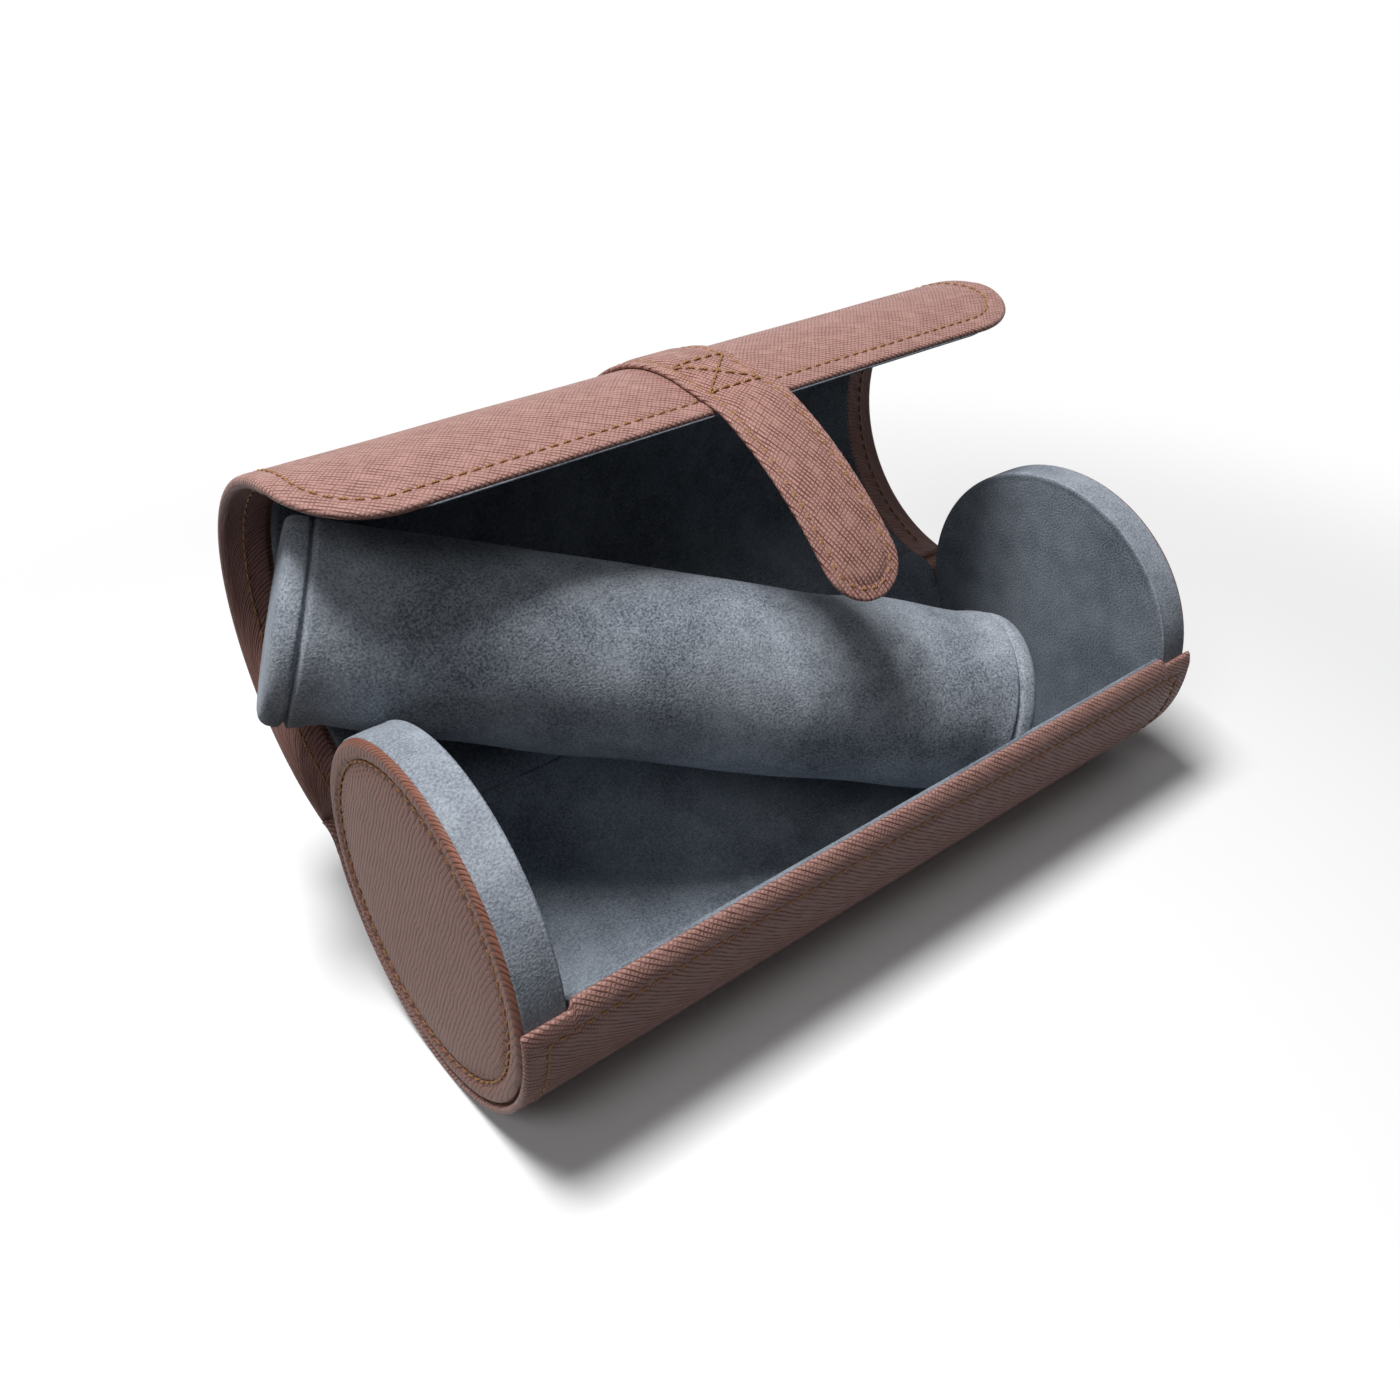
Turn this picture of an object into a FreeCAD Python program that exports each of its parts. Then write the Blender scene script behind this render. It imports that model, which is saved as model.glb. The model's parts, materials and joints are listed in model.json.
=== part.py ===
"""Round travel roll for watches: a leather half-cylinder tray with padded end discs, a hinged leather
lid with a closing strap, and a loose suede cushion lying askew in it.

Millimetres, +Z up. X runs along the case, Y to its back. The origin lies under the middle of the case,
on the line where the round tray stands. Every shell is drawn about the case axis with the lid closed,
and the Placements then open the lid, lift the case onto its standing line and lay the cushion askew.
Angles of the shells are polar, in degrees: 0 at the back, 90 at the top, 180 at the front.
"""

import FreeCAD, Part
import math
import os

import Sketcher

DOC = FreeCAD.newDocument("TravelRoll")
SHEET = DOC.addObject("Spreadsheet::Sheet", "Sizes")

# Driving dimensions of the case
SIZES = {
    "case_length": 200.0,
    "end_radius": 39.2,
    "end_thickness": 10.6,
    "end_leather": 1.4,
    "end_leather_round": 1.1,
    "end_foam": 1.6,
    "end_rim_suede": 1.0,
    "end_lining": 1.2,
    "end_lining_round": 0.9,
    "tray_board": 0.8,
    "tray_leather": 1.0,
    "tray_lining": 2.0,
    "lip_angle": 178.5,
    "lip_cap_angle": 1.4,
    "lip_bead_radius": 1.65,
    "seat_gap": 0.05,
    "hinge_angle": -5.0,
    "tray_hinge_gap": 4.0,
    "lid_hinge_gap": 4.0,
    "hinge_seam": 0.4,
    "hinge_suede": 0.8,
    "lid_open_angle": 80.0,
    "lid_clearance": 0.3,
    "lid_facing": 0.5,
    "lid_leather": 1.2,
    "lid_board": 0.8,
    "lid_lining": 2.4,
    "lid_lining_side_gap": 0.5,
    "lid_lining_front": 168.0,
    "lid_lining_back": 4.0,
    "lid_hem_width": 11.0,
    "lid_hem": 0.8,
    "lid_skirt": 12.5,
    "lid_corner_radius": 20.5,
    "facing_overhang": 1.0,
    "strap_width": 20.0,
    "strap_centre": 2.0,
    "strap_layer": 1.2,
    "strap_back_angle": 25.0,
    "tail_bend_radius": 15.0,
    "tail_bend_angle": 15.0,
    "tail_radius": 95.0,
    "tail_angle": 30.0,
    "tail_tip_flat": 0.4,
    "magnet_angle": 253.2,
    "tray_magnet_radius": 6.0,
    "tray_magnet_height": 1.1,
    "strap_magnet_radius": 5.0,
    "strap_magnet_height": 0.8,
    "strap_magnet_back": 8.0,
    "magnet_gap": 0.1,
    "cushion_slack": 1.8,
    "cushion_watch_room": 14.05,
    "cushion_crown": 0.9,
    "cushion_suede": 1.2,
    "cushion_cap": 3.2,
    "cushion_cap_round": 1.2,
    "cushion_left_inset": 1.0,
    "cushion_lean_angle": 25.2,
    "cushion_lid_gap": 0.1,
    "cushion_drop_angle": 214.0,
    "cushion_tray_gap": 1.7,
}
for row, (alias, size) in enumerate(SIZES.items(), start=1):
    SHEET.set(f"A{row}", alias)
    SHEET.set(f"B{row}", repr(size))
    SHEET.setAlias(f"B{row}", alias)
DOC.recompute()


def value(expression):
    """The number that an expression in the sheet's aliases gives."""
    result = SHEET.evalExpression(expression)
    return float(getattr(result, "Value", result))


# Radii worked out from the sheet, as expressions that the features are bound to
HALF = "Sizes.case_length / 2"
INNER_FACE = "(Sizes.case_length / 2 - Sizes.end_thickness)"
BOARD_IN = "(Sizes.end_radius + Sizes.seat_gap)"
LEATHER_IN = "(Sizes.end_radius + Sizes.seat_gap + Sizes.tray_board)"
TRAY_OUT = "(Sizes.end_radius + Sizes.seat_gap + Sizes.tray_board + Sizes.tray_leather)"
LINING_IN = "(Sizes.end_radius + Sizes.seat_gap - Sizes.tray_lining)"
FACING_IN = f"({TRAY_OUT} + Sizes.lid_clearance)"
LID_IN = f"({FACING_IN} + Sizes.lid_facing)"
LID_OUT = f"({LID_IN} + Sizes.lid_leather)"
LID_BOARD_IN = f"({LID_IN} - Sizes.lid_board)"
LID_HEM_IN = f"({LID_BOARD_IN} - Sizes.lid_hem)"
LID_LINING_IN = f"({LID_BOARD_IN} - Sizes.lid_lining)"
BAND_MID = f"({LID_OUT} + Sizes.strap_layer)"
BAND_OUT = f"({LID_OUT} + 2 * Sizes.strap_layer)"
HINGE_RADIUS = f"(({TRAY_OUT} + {LID_OUT}) / 2)"
DEGREES_PER_RADIAN = "57.29577951308232"
TRAY_BACK = f"(Sizes.hinge_angle - Sizes.tray_hinge_gap / {HINGE_RADIUS} * {DEGREES_PER_RADIAN})"
LID_BACK = f"(Sizes.hinge_angle + Sizes.lid_hinge_gap / {HINGE_RADIUS} * {DEGREES_PER_RADIAN})"
BEAD_CENTRE = f"({TRAY_OUT} - Sizes.lip_bead_radius)"
BEAD_ANGLE = "(Sizes.lip_angle - Sizes.lip_cap_angle / 2)"
BEAD_REACH = f"((Sizes.lip_bead_radius + Sizes.seat_gap) / {LINING_IN} * {DEGREES_PER_RADIAN})"
LINING_FRONT = f"({BEAD_ANGLE} + {BEAD_REACH})"
STRAP_LEFT = "(Sizes.strap_centre - Sizes.strap_width / 2)"
STRAP_RIGHT = "(Sizes.strap_centre + Sizes.strap_width / 2)"
TIP_ROUND = "((Sizes.strap_width - Sizes.tail_tip_flat) / 2)"
CUSHION_LENGTH = "(Sizes.case_length - 2 * Sizes.end_thickness - Sizes.cushion_slack)"
CUSHION_RADIUS = f"({LINING_IN} - Sizes.cushion_watch_room)"

TRAY_RADIUS = value(TRAY_OUT)


def polar(radius, angle_degrees):
    """A point (Y, Z) at a polar angle about the case axis."""
    angle = math.radians(angle_degrees)
    return FreeCAD.Vector(0, radius * math.cos(angle), radius * math.sin(angle))


# Places of the bodies
STANDING = FreeCAD.Placement(FreeCAD.Vector(0, 0, TRAY_RADIUS), FreeCAD.Rotation())
HINGE = polar(value(HINGE_RADIUS), value("Sizes.hinge_angle"))
LID_TURN = FreeCAD.Rotation(FreeCAD.Vector(1, 0, 0), -value("Sizes.lid_open_angle"))
OPEN_LID = STANDING * FreeCAD.Placement(FreeCAD.Vector(), LID_TURN, HINGE)


def end_reach(direction, axis):
    """How far the cushion's rounded end reaches from its centre in a direction across the case."""
    slope = abs(direction.dot(axis))
    rounding = value("Sizes.cushion_cap_round")
    return (value(CUSHION_RADIUS) - rounding) * math.sqrt(1.0 - slope**2) + rounding * (1.0 - slope)


def lay_cushion():
    """Place the cushion with its left end leaning in the open lid and its right end down in the tray.

    Each end lies a small gap off the suede it leans on. How far an end reaches depends on the cushion's
    slant, so the slant is worked out a few times over.
    """
    lid_centre = OPEN_LID.multVec(FreeCAD.Vector()) - STANDING.Base
    lean = polar(1.0, value("Sizes.cushion_lean_angle"))
    drop = polar(1.0, value("Sizes.cushion_drop_angle"))
    axis = FreeCAD.Vector(1, 0, 0)
    for _ in range(20):
        left = lid_centre + lean * (value(f"{LID_LINING_IN} - Sizes.cushion_lid_gap") - end_reach(lean, axis))
        right = drop * (value(f"{LINING_IN} - Sizes.cushion_tray_gap") - end_reach(drop, axis))
        across = right - left
        run = math.sqrt(value(CUSHION_LENGTH) ** 2 - across.Length**2)
        axis = (FreeCAD.Vector(run, 0, 0) + across).normalize()
    left.x = value(f"Sizes.cushion_left_inset - {HALF}")
    return FreeCAD.Placement(left, FreeCAD.Rotation(FreeCAD.Vector(1, 0, 0), axis))


CUSHION = STANDING * lay_cushion()

NODES = []


def hand_in(piece, label, placement):
    """Label a finished sub-part, put it in its place and list it for export."""
    piece.Label = label
    piece.Placement = placement
    NODES.append(piece)
    return piece


def new_body(name):
    """An empty body for one sub-part."""
    return DOC.addObject("PartDesign::Body", name)


def attach(sketch, body, role):
    """Attach a sketch to one of its own body's origin planes."""
    planes = [feature for feature in body.Origin.OriginFeatures if feature.Role == role]
    sketch.AttachmentSupport = [(planes[0], "")]
    sketch.MapMode = "FlatFace"


def half_turn_range(angle_degrees):
    """The same angle between -180 and 180 degrees."""
    return (angle_degrees + 180.0) % 360.0 - 180.0


def pad(body, sketch, length):
    """Pad a sketch along its normal."""
    feature = body.newObject("PartDesign::Pad", sketch.Name + "Pad")
    feature.Profile = sketch
    feature.setExpression("Length", length)
    sketch.Visibility = False
    return feature


def sector(body, tag, inner, outer, start, end, x_from, x_to, centre=("0", "0")):
    """A shell of a part-cylinder: a ring sector about the X axis, padded from x_from to x_to."""
    sketch = body.newObject("Sketcher::SketchObject", body.Name + tag)
    attach(sketch, body, "YZ_Plane")
    sketch.setExpression("AttachmentOffset.Base.x", f"{centre[0]} * 1 mm")
    sketch.setExpression("AttachmentOffset.Base.y", f"{centre[1]} * 1 mm")
    sketch.setExpression("AttachmentOffset.Base.z", f"({x_from}) * 1 mm")
    first, last = half_turn_range(value(start)), half_turn_range(value(end))
    sweep_end = last if last > first else last + 360.0
    limits = (math.radians(first), math.radians(sweep_end))
    zero, up = FreeCAD.Vector(), FreeCAD.Vector(0, 0, 1)
    arcs = [Part.ArcOfCircle(Part.Circle(zero, up, value(r)), *limits) for r in (outer, inner)]
    rays = [Part.LineSegment(arcs[1].value(a), arcs[0].value(a)) for a in limits]
    sketch.addGeometry(arcs + rays, False)
    link = Sketcher.Constraint
    sketch.addConstraint([link("Coincident", arc, 3, -1, 1) for arc in (0, 1)])
    for ray, arc_point in ((2, 1), (3, 2)):
        sketch.addConstraint(link("Coincident", ray, 1, 1, arc_point))
        sketch.addConstraint(link("Coincident", ray, 2, 0, arc_point))
        sketch.addConstraint(link("PointOnObject", -1, 1, ray))
    for name, geometry, size in (("outer", 0, outer), ("inner", 1, inner)):
        index = sketch.addConstraint(link("Radius", geometry, value(size)))
        sketch.renameConstraint(index, name)
        sketch.setExpression(f"Constraints.{name}", f"({size}) * 1 mm")
    for name, ray, angle in (("start", 2, start), ("end", 3, end)):
        index = sketch.addConstraint(link("Angle", ray, math.radians(half_turn_range(value(angle)))))
        sketch.renameConstraint(index, name)
        turns = round((half_turn_range(value(angle)) - value(angle)) / 360.0) * 360
        sketch.setExpression(f"Constraints.{name}", f"({angle} + {turns}) * 1 deg")
    return pad(body, sketch, f"(({x_to}) - ({x_from})) * 1 mm")


def fix_point(sketch, geometry, position, place, name):
    """Hold an end of a line or arc at a place given by two expressions."""
    axes = (("DistanceX", -2, place[0], name + "x"), ("DistanceY", -1, place[1], name + "y"))
    for kind, axis, size, label in axes:
        if abs(value(size)) < 1e-9:
            sketch.addConstraint(Sketcher.Constraint("PointOnObject", geometry, position, axis))
            continue
        link = Sketcher.Constraint(kind, -1, 1, geometry, position, value(size))
        sketch.renameConstraint(sketch.addConstraint(link), label)
        sketch.setExpression(f"Constraints.{label}", f"({size}) * 1 mm")


def plate(body, tag, low, high, x_from, x_to):
    """A plate with its section in Y and Z between two corners, padded from x_from to x_to."""
    sketch = body.newObject("Sketcher::SketchObject", body.Name + tag)
    attach(sketch, body, "YZ_Plane")
    sketch.setExpression("AttachmentOffset.Base.z", f"({x_from}) * 1 mm")
    corners = [(low[0], low[1]), (high[0], low[1]), (high[0], high[1]), (low[0], high[1])]
    points = [FreeCAD.Vector(value(y), value(z), 0) for y, z in corners]
    for index in range(4):
        sketch.addGeometry(Part.LineSegment(points[index], points[(index + 1) % 4]), False)
    for index in range(4):
        sketch.addConstraint(Sketcher.Constraint("Coincident", index, 2, (index + 1) % 4, 1))
    for index, corner in enumerate(corners):
        fix_point(sketch, index, 1, corner, f"corner{index}")
    return pad(body, sketch, f"(({x_to}) - ({x_from})) * 1 mm")


def disc(body, tag, radii, x_from, x_to, centre=("0", "0")):
    """A round plate about the X direction, or a ring where two radii are given."""
    sketch = body.newObject("Sketcher::SketchObject", body.Name + tag)
    attach(sketch, body, "YZ_Plane")
    sketch.setExpression("AttachmentOffset.Base.x", f"{centre[0]} * 1 mm")
    sketch.setExpression("AttachmentOffset.Base.y", f"{centre[1]} * 1 mm")
    sketch.setExpression("AttachmentOffset.Base.z", f"({x_from}) * 1 mm")
    for index, radius in enumerate(radii):
        circle = Part.Circle(FreeCAD.Vector(), FreeCAD.Vector(0, 0, 1), value(radius))
        sketch.addGeometry(circle, False)
        sketch.addConstraint(Sketcher.Constraint("Coincident", index, 3, -1, 1))
        number = sketch.addConstraint(Sketcher.Constraint("Radius", index, value(radius)))
        sketch.renameConstraint(number, f"radius{index}")
        sketch.setExpression(f"Constraints.radius{index}", f"({radius}) * 1 mm")
    return pad(body, sketch, f"(({x_to}) - ({x_from})) * 1 mm")


def round_edges(body, feature, picked, radius):
    """Round the edges of a feature that a test on an edge picks."""
    DOC.recompute()
    edges = feature.Shape.Edges
    names = [f"Edge{number}" for number, edge in enumerate(edges, start=1) if picked(edge)]
    fillet = body.newObject("PartDesign::Fillet", body.Name + "Round")
    fillet.Base = (feature, names)
    fillet.setExpression("Radius", f"({radius}) * 1 mm")
    return fillet


def edges_at(x):
    """A test for the edges that lie in the plane at one X."""
    return lambda edge: abs(edge.BoundBox.Center.x - x) < 1e-6


def barrel(body, tag, x_from, x_to, outer, crown, inner=None):
    """A turned roll about the X axis whose side swells by the crown between its two ends."""
    sketch = body.newObject("Sketcher::SketchObject", body.Name + tag)
    attach(sketch, body, "XY_Plane")
    left, right, swell = value(x_from), value(x_to), value(crown)
    bow = f"((({x_to}) - ({x_from})) ^ 2 / 4 + ({crown}) ^ 2) / (2 * ({crown}))"
    up = FreeCAD.Vector(0, 0, 1)
    levels = [outer] if inner is None else [outer, inner]
    for level in levels:
        centre = FreeCAD.Vector((left + right) / 2, value(level) + swell - value(bow), 0)
        half_angle = math.asin((right - left) / 2 / value(bow))
        circle = Part.Circle(centre, up, value(bow))
        arc = Part.ArcOfCircle(circle, math.pi / 2 - half_angle, math.pi / 2 + half_angle)
        index = sketch.addGeometry(arc, False)
        fix_point(sketch, index, 1, (x_to, level), f"right{index}")
        fix_point(sketch, index, 2, (x_from, level), f"left{index}")
        number = sketch.addConstraint(Sketcher.Constraint("Radius", index, value(bow)))
        sketch.renameConstraint(number, f"bow{index}")
        sketch.setExpression(f"Constraints.bow{index}", f"({bow}) * 1 mm")
    top_right = FreeCAD.Vector(right, value(outer), 0)
    top_left = FreeCAD.Vector(left, value(outer), 0)
    if inner is None:
        ends = [FreeCAD.Vector(left, 0, 0), FreeCAD.Vector(right, 0, 0)]
        lines = [(top_left, ends[0]), (ends[0], ends[1]), (ends[1], top_right)]
        sketch.addGeometry([Part.LineSegment(*line) for line in lines], False)
        joins = [(0, 2, 1, 1), (1, 2, 2, 1), (2, 2, 3, 1), (3, 2, 0, 1)]
        sketch.addConstraint([Sketcher.Constraint("Coincident", *join) for join in joins])
        sketch.addConstraint(Sketcher.Constraint("PointOnObject", 2, 1, -1))
        sketch.addConstraint(Sketcher.Constraint("PointOnObject", 2, 2, -1))
        sketch.addConstraint(Sketcher.Constraint("Vertical", 1))
        sketch.addConstraint(Sketcher.Constraint("Vertical", 3))
    else:
        low_left = FreeCAD.Vector(left, value(inner), 0)
        low_right = FreeCAD.Vector(right, value(inner), 0)
        lines = [(top_left, low_left), (low_right, top_right)]
        sketch.addGeometry([Part.LineSegment(*line) for line in lines], False)
        joins = [(0, 2, 2, 1), (2, 2, 1, 2), (1, 1, 3, 1), (3, 2, 0, 1)]
        sketch.addConstraint([Sketcher.Constraint("Coincident", *join) for join in joins])
    turned = body.newObject("PartDesign::Revolution", body.Name + tag + "Turned")
    turned.Profile = sketch
    turned.ReferenceAxis = (sketch, ["H_Axis"])
    turned.Angle = 360.0
    return turned


def from_end(side, depth):
    """The X of a depth measured inwards from an end face; side is -1 at the left, 1 at the right."""
    return f"({side} * (Sizes.case_length / 2 - ({depth})))"


def between_ends(side, near, far):
    """The lower and the higher X of two depths from an end face."""
    span = [from_end(side, near), from_end(side, far)]
    return span if side < 0 else span[::-1]


# Tray: leather outside, turned over the board along the front lip and at both ends
tray_leather = new_body("TrayLeather")
sector(tray_leather, "Wall", LEATHER_IN, TRAY_OUT, "Sizes.lip_angle", TRAY_BACK, f"-{HALF}", HALF)
cap_top = "(Sizes.lip_angle - Sizes.lip_cap_angle)"
sector(tray_leather, "Cap", BOARD_IN, TRAY_OUT, cap_top, "Sizes.lip_angle", f"-{HALF}", HALF)
bead_centre = (
    f"({BEAD_CENTRE} * cos({BEAD_ANGLE} * 1 deg))",
    f"({BEAD_CENTRE} * sin({BEAD_ANGLE} * 1 deg))",
)
between_discs = (f"(-{INNER_FACE} + Sizes.seat_gap)", f"({INNER_FACE} - Sizes.seat_gap)")
disc(tray_leather, "Bead", ["Sizes.lip_bead_radius"], *between_discs, centre=bead_centre)
for side in (-1, 1):
    span = between_ends(side, "0", "Sizes.tray_leather")
    tag = "LeftTurn" if side < 0 else "RightTurn"
    sector(tray_leather, tag, BOARD_IN, LEATHER_IN, "Sizes.lip_angle", TRAY_BACK, *span)
hand_in(tray_leather, "tray_leather", STANDING)

# Tray: card stiffener under the leather
tray_board = new_body("TrayBoard")
board_span = (f"(-{HALF} + Sizes.tray_leather)", f"({HALF} - Sizes.tray_leather)")
sector(tray_board, "Wall", BOARD_IN, LEATHER_IN, LINING_FRONT, TRAY_BACK, *board_span)
hand_in(tray_board, "tray_board", STANDING)


def flat_magnet(name, radius, height, spot, outwards):
    """A round magnet with its outer face at a spot, its axis along the outward direction."""
    magnet = DOC.addObject("Part::Cylinder", name)
    magnet.setExpression("Radius", f"({radius}) * 1 mm")
    magnet.setExpression("Height", f"({height}) * 1 mm")
    turn = FreeCAD.Rotation(FreeCAD.Vector(0, 0, 1), outwards)
    return magnet, FreeCAD.Placement(spot - outwards * value(height), turn)


def magnet_seat(name, radius, height, spot, outwards, opening):
    """The pocket that a magnet lies in, open on its outer side."""
    seat = DOC.addObject("Part::Cylinder", name)
    seat.setExpression("Radius", f"({radius} + Sizes.magnet_gap) * 1 mm")
    seat.setExpression("Height", f"({height} + Sizes.magnet_gap + {opening}) * 1 mm")
    turn = FreeCAD.Rotation(FreeCAD.Vector(0, 0, 1), outwards)
    seat.Placement = FreeCAD.Placement(spot - outwards * value(f"{height} + Sizes.magnet_gap"), turn)
    return seat


# Tray: padded suede lining, with the closing magnet let into its outer side
tray_lining_body = new_body("TrayLiningBody")
sector(
    tray_lining_body, "Wall", LINING_IN, "Sizes.end_radius", LINING_FRONT, TRAY_BACK, *between_discs
)
magnet_out = polar(1.0, value("Sizes.magnet_angle"))
magnet_reach = "(((Sizes.end_radius - Sizes.magnet_gap) ^ 2 - Sizes.tray_magnet_radius ^ 2) ^ 0.5)"
magnet_spot = magnet_out * value(magnet_reach) + FreeCAD.Vector(value("Sizes.strap_centre"), 0, 0)
tray_magnet_sizes = ("Sizes.tray_magnet_radius", "Sizes.tray_magnet_height", magnet_spot, magnet_out)
tray_magnet, tray_magnet_place = flat_magnet("TrayMagnet", *tray_magnet_sizes)
hand_in(tray_magnet, "tray_magnet", STANDING * tray_magnet_place)
tray_lining = DOC.addObject("Part::Cut", "TrayLining")
tray_lining.Base = tray_lining_body
tray_lining.Tool = magnet_seat("TrayMagnetSeat", *tray_magnet_sizes, "Sizes.tray_lining")
hand_in(tray_lining, "tray_lining", STANDING)

# Padded end discs: leather face, foam, board core, suede round the rim and a suede inner face
CORE_RADIUS = "(Sizes.end_radius - Sizes.end_rim_suede)"
FOAM_TOP = "Sizes.end_leather"
BOARD_TOP = "(Sizes.end_leather + Sizes.end_foam)"
LINING_TOP = "(Sizes.end_thickness - Sizes.end_lining)"
for side, word in ((-1, "left"), (1, "right")):
    title = word.title()
    leather = new_body(title + "EndLeather")
    face = disc(leather, "Face", ["Sizes.end_radius"], *between_ends(side, "0", "Sizes.end_leather"))
    round_edges(leather, face, edges_at(value(from_end(side, "0"))), "Sizes.end_leather_round")
    hand_in(leather, f"{word}_end_leather", STANDING)
    layers = (
        ("foam", [CORE_RADIUS], FOAM_TOP, BOARD_TOP),
        ("board", [CORE_RADIUS], BOARD_TOP, LINING_TOP),
        ("rim_suede", ["Sizes.end_radius", CORE_RADIUS], FOAM_TOP, LINING_TOP),
    )
    for layer, radii, near, far in layers:
        body = new_body(title + "End" + layer.title().replace("_", ""))
        disc(body, "Layer", radii, *between_ends(side, near, far))
        hand_in(body, f"{word}_end_{layer}", STANDING)
    lining = new_body(title + "EndLining")
    inner = disc(lining, "Face", ["Sizes.end_radius"], *between_ends(side, LINING_TOP, "Sizes.end_thickness"))
    inner_x = value(from_end(side, "Sizes.end_thickness"))
    round_edges(lining, inner, edges_at(inner_x), "Sizes.end_lining_round")
    hand_in(lining, f"{word}_end_lining", STANDING)


def corner_cutters(name, bottom):
    """Blocks with a quarter-round hollow that round off the two front corners of a skirt."""
    reach = "(Sizes.lid_corner_radius + Sizes.lid_skirt)"
    blocks = []
    for side in (-1, 1):
        tag = name + ("Left" if side < 0 else "Right")
        block = DOC.addObject("Part::Box", tag + "Block")
        block.setExpression("Length", f"{reach} * 1 mm")
        block.setExpression("Width", f"{LID_OUT} * 1 mm")
        block.setExpression("Height", f"{reach} * 1 mm")
        corner_x = value(f"{HALF} - Sizes.lid_corner_radius")
        corner_z = value(f"{bottom} + Sizes.lid_corner_radius")
        low_x = corner_x if side > 0 else -corner_x - value(reach)
        depth = 1.5 * value(LID_OUT)
        block.Placement.Base = FreeCAD.Vector(low_x, -depth, corner_z - value(reach))
        round_bar = DOC.addObject("Part::Cylinder", tag + "Bar")
        round_bar.setExpression("Radius", "Sizes.lid_corner_radius * 1 mm")
        round_bar.setExpression("Height", f"2 * {LID_OUT} * 1 mm")
        turn = FreeCAD.Rotation(FreeCAD.Vector(1, 0, 0), 90)
        round_bar.Placement = FreeCAD.Placement(FreeCAD.Vector(side * corner_x, 0, corner_z), turn)
        hollow = DOC.addObject("Part::Cut", tag + "Cutter")
        hollow.Base = block
        hollow.Tool = round_bar
        blocks.append(hollow)
    both = DOC.addObject("Part::MultiFuse", name + "Cutters")
    both.Shapes = blocks
    return both


# Lid: leather shell with a straight front skirt, rounded front corners and hems turned in at the ends
lid_leather_body = new_body("LidLeatherBody")
sector(lid_leather_body, "Shell", LID_IN, LID_OUT, LID_BACK, "180", f"-{HALF}", HALF)
skirt_low, skirt_high = (f"-{LID_OUT}", "-Sizes.lid_skirt"), (f"-{LID_IN}", "0")
plate(lid_leather_body, "Skirt", skirt_low, skirt_high, f"-{HALF}", HALF)
hem_span = ("Sizes.lid_lining_back", "Sizes.lid_lining_front")
for side in (-1, 1):
    tag = "Left" if side < 0 else "Right"
    edge_span = between_ends(side, "0", "Sizes.lid_leather")
    hem_reach = between_ends(side, "Sizes.lid_leather", "Sizes.lid_hem_width")
    sector(lid_leather_body, tag + "Edge", LID_HEM_IN, LID_IN, *hem_span, *edge_span)
    sector(lid_leather_body, tag + "Hem", LID_HEM_IN, LID_BOARD_IN, *hem_span, *hem_reach)
lid_leather = DOC.addObject("Part::Cut", "LidLeather")
lid_leather.Base = lid_leather_body
lid_leather.Tool = corner_cutters("LidCorner", "-Sizes.lid_skirt")
hand_in(lid_leather, "lid_leather", OPEN_LID)

# Lid: card stiffener, which stops short of the skirt
lid_board = new_body("LidBoard")
lid_board_span = (f"(-{HALF} + Sizes.lid_leather)", f"({HALF} - Sizes.lid_leather)")
sector(lid_board, "Shell", LID_BOARD_IN, LID_IN, *hem_span, *lid_board_span)
hand_in(lid_board, "lid_board", OPEN_LID)

# Lid: padded suede lining, with a thin suede facing on down the back of the skirt
lining_reach = f"({INNER_FACE} - Sizes.lid_lining_side_gap)"
lining_span = (f"-{lining_reach}", lining_reach)
STEP_FRONT = f"(Sizes.lid_lining_front + Sizes.lid_lining / {LID_IN} * {DEGREES_PER_RADIAN})"
lid_lining_body = new_body("LidLiningBody")
sector(lid_lining_body, "Pad", LID_LINING_IN, LID_BOARD_IN, *hem_span, *lining_span)
sector(lid_lining_body, "Step", LID_LINING_IN, LID_IN, "Sizes.lid_lining_front", STEP_FRONT, *lining_span)
sector(lid_lining_body, "Facing", FACING_IN, LID_IN, STEP_FRONT, "180", *lining_span)
FACING_LOW = "(-Sizes.lid_skirt - Sizes.facing_overhang)"
plate(lid_lining_body, "Skirt", (f"-{LID_IN}", FACING_LOW), (f"-{FACING_IN}", "0"), *lining_span)
lid_lining = DOC.addObject("Part::Cut", "LidLining")
lid_lining.Base = lid_lining_body
lid_lining.Tool = corner_cutters("FacingCorner", FACING_LOW)
hand_in(lid_lining, "lid_lining", OPEN_LID)

# Strap band: two layers of leather, sewn over the lid from its back to its front edge
for name, label, low, high in (
    ("StrapBandBacking", "strap_band_backing", LID_OUT, BAND_MID),
    ("StrapBand", "strap_band", BAND_MID, BAND_OUT),
):
    band = new_body(name)
    sector(band, "Over", low, high, "Sizes.strap_back_angle", "180", STRAP_LEFT, STRAP_RIGHT)
    plate(band, "Front", (f"-{high}", "-Sizes.lid_skirt"), (f"-{low}", "0"), STRAP_LEFT, STRAP_RIGHT)
    hand_in(band, label, OPEN_LID)

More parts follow.
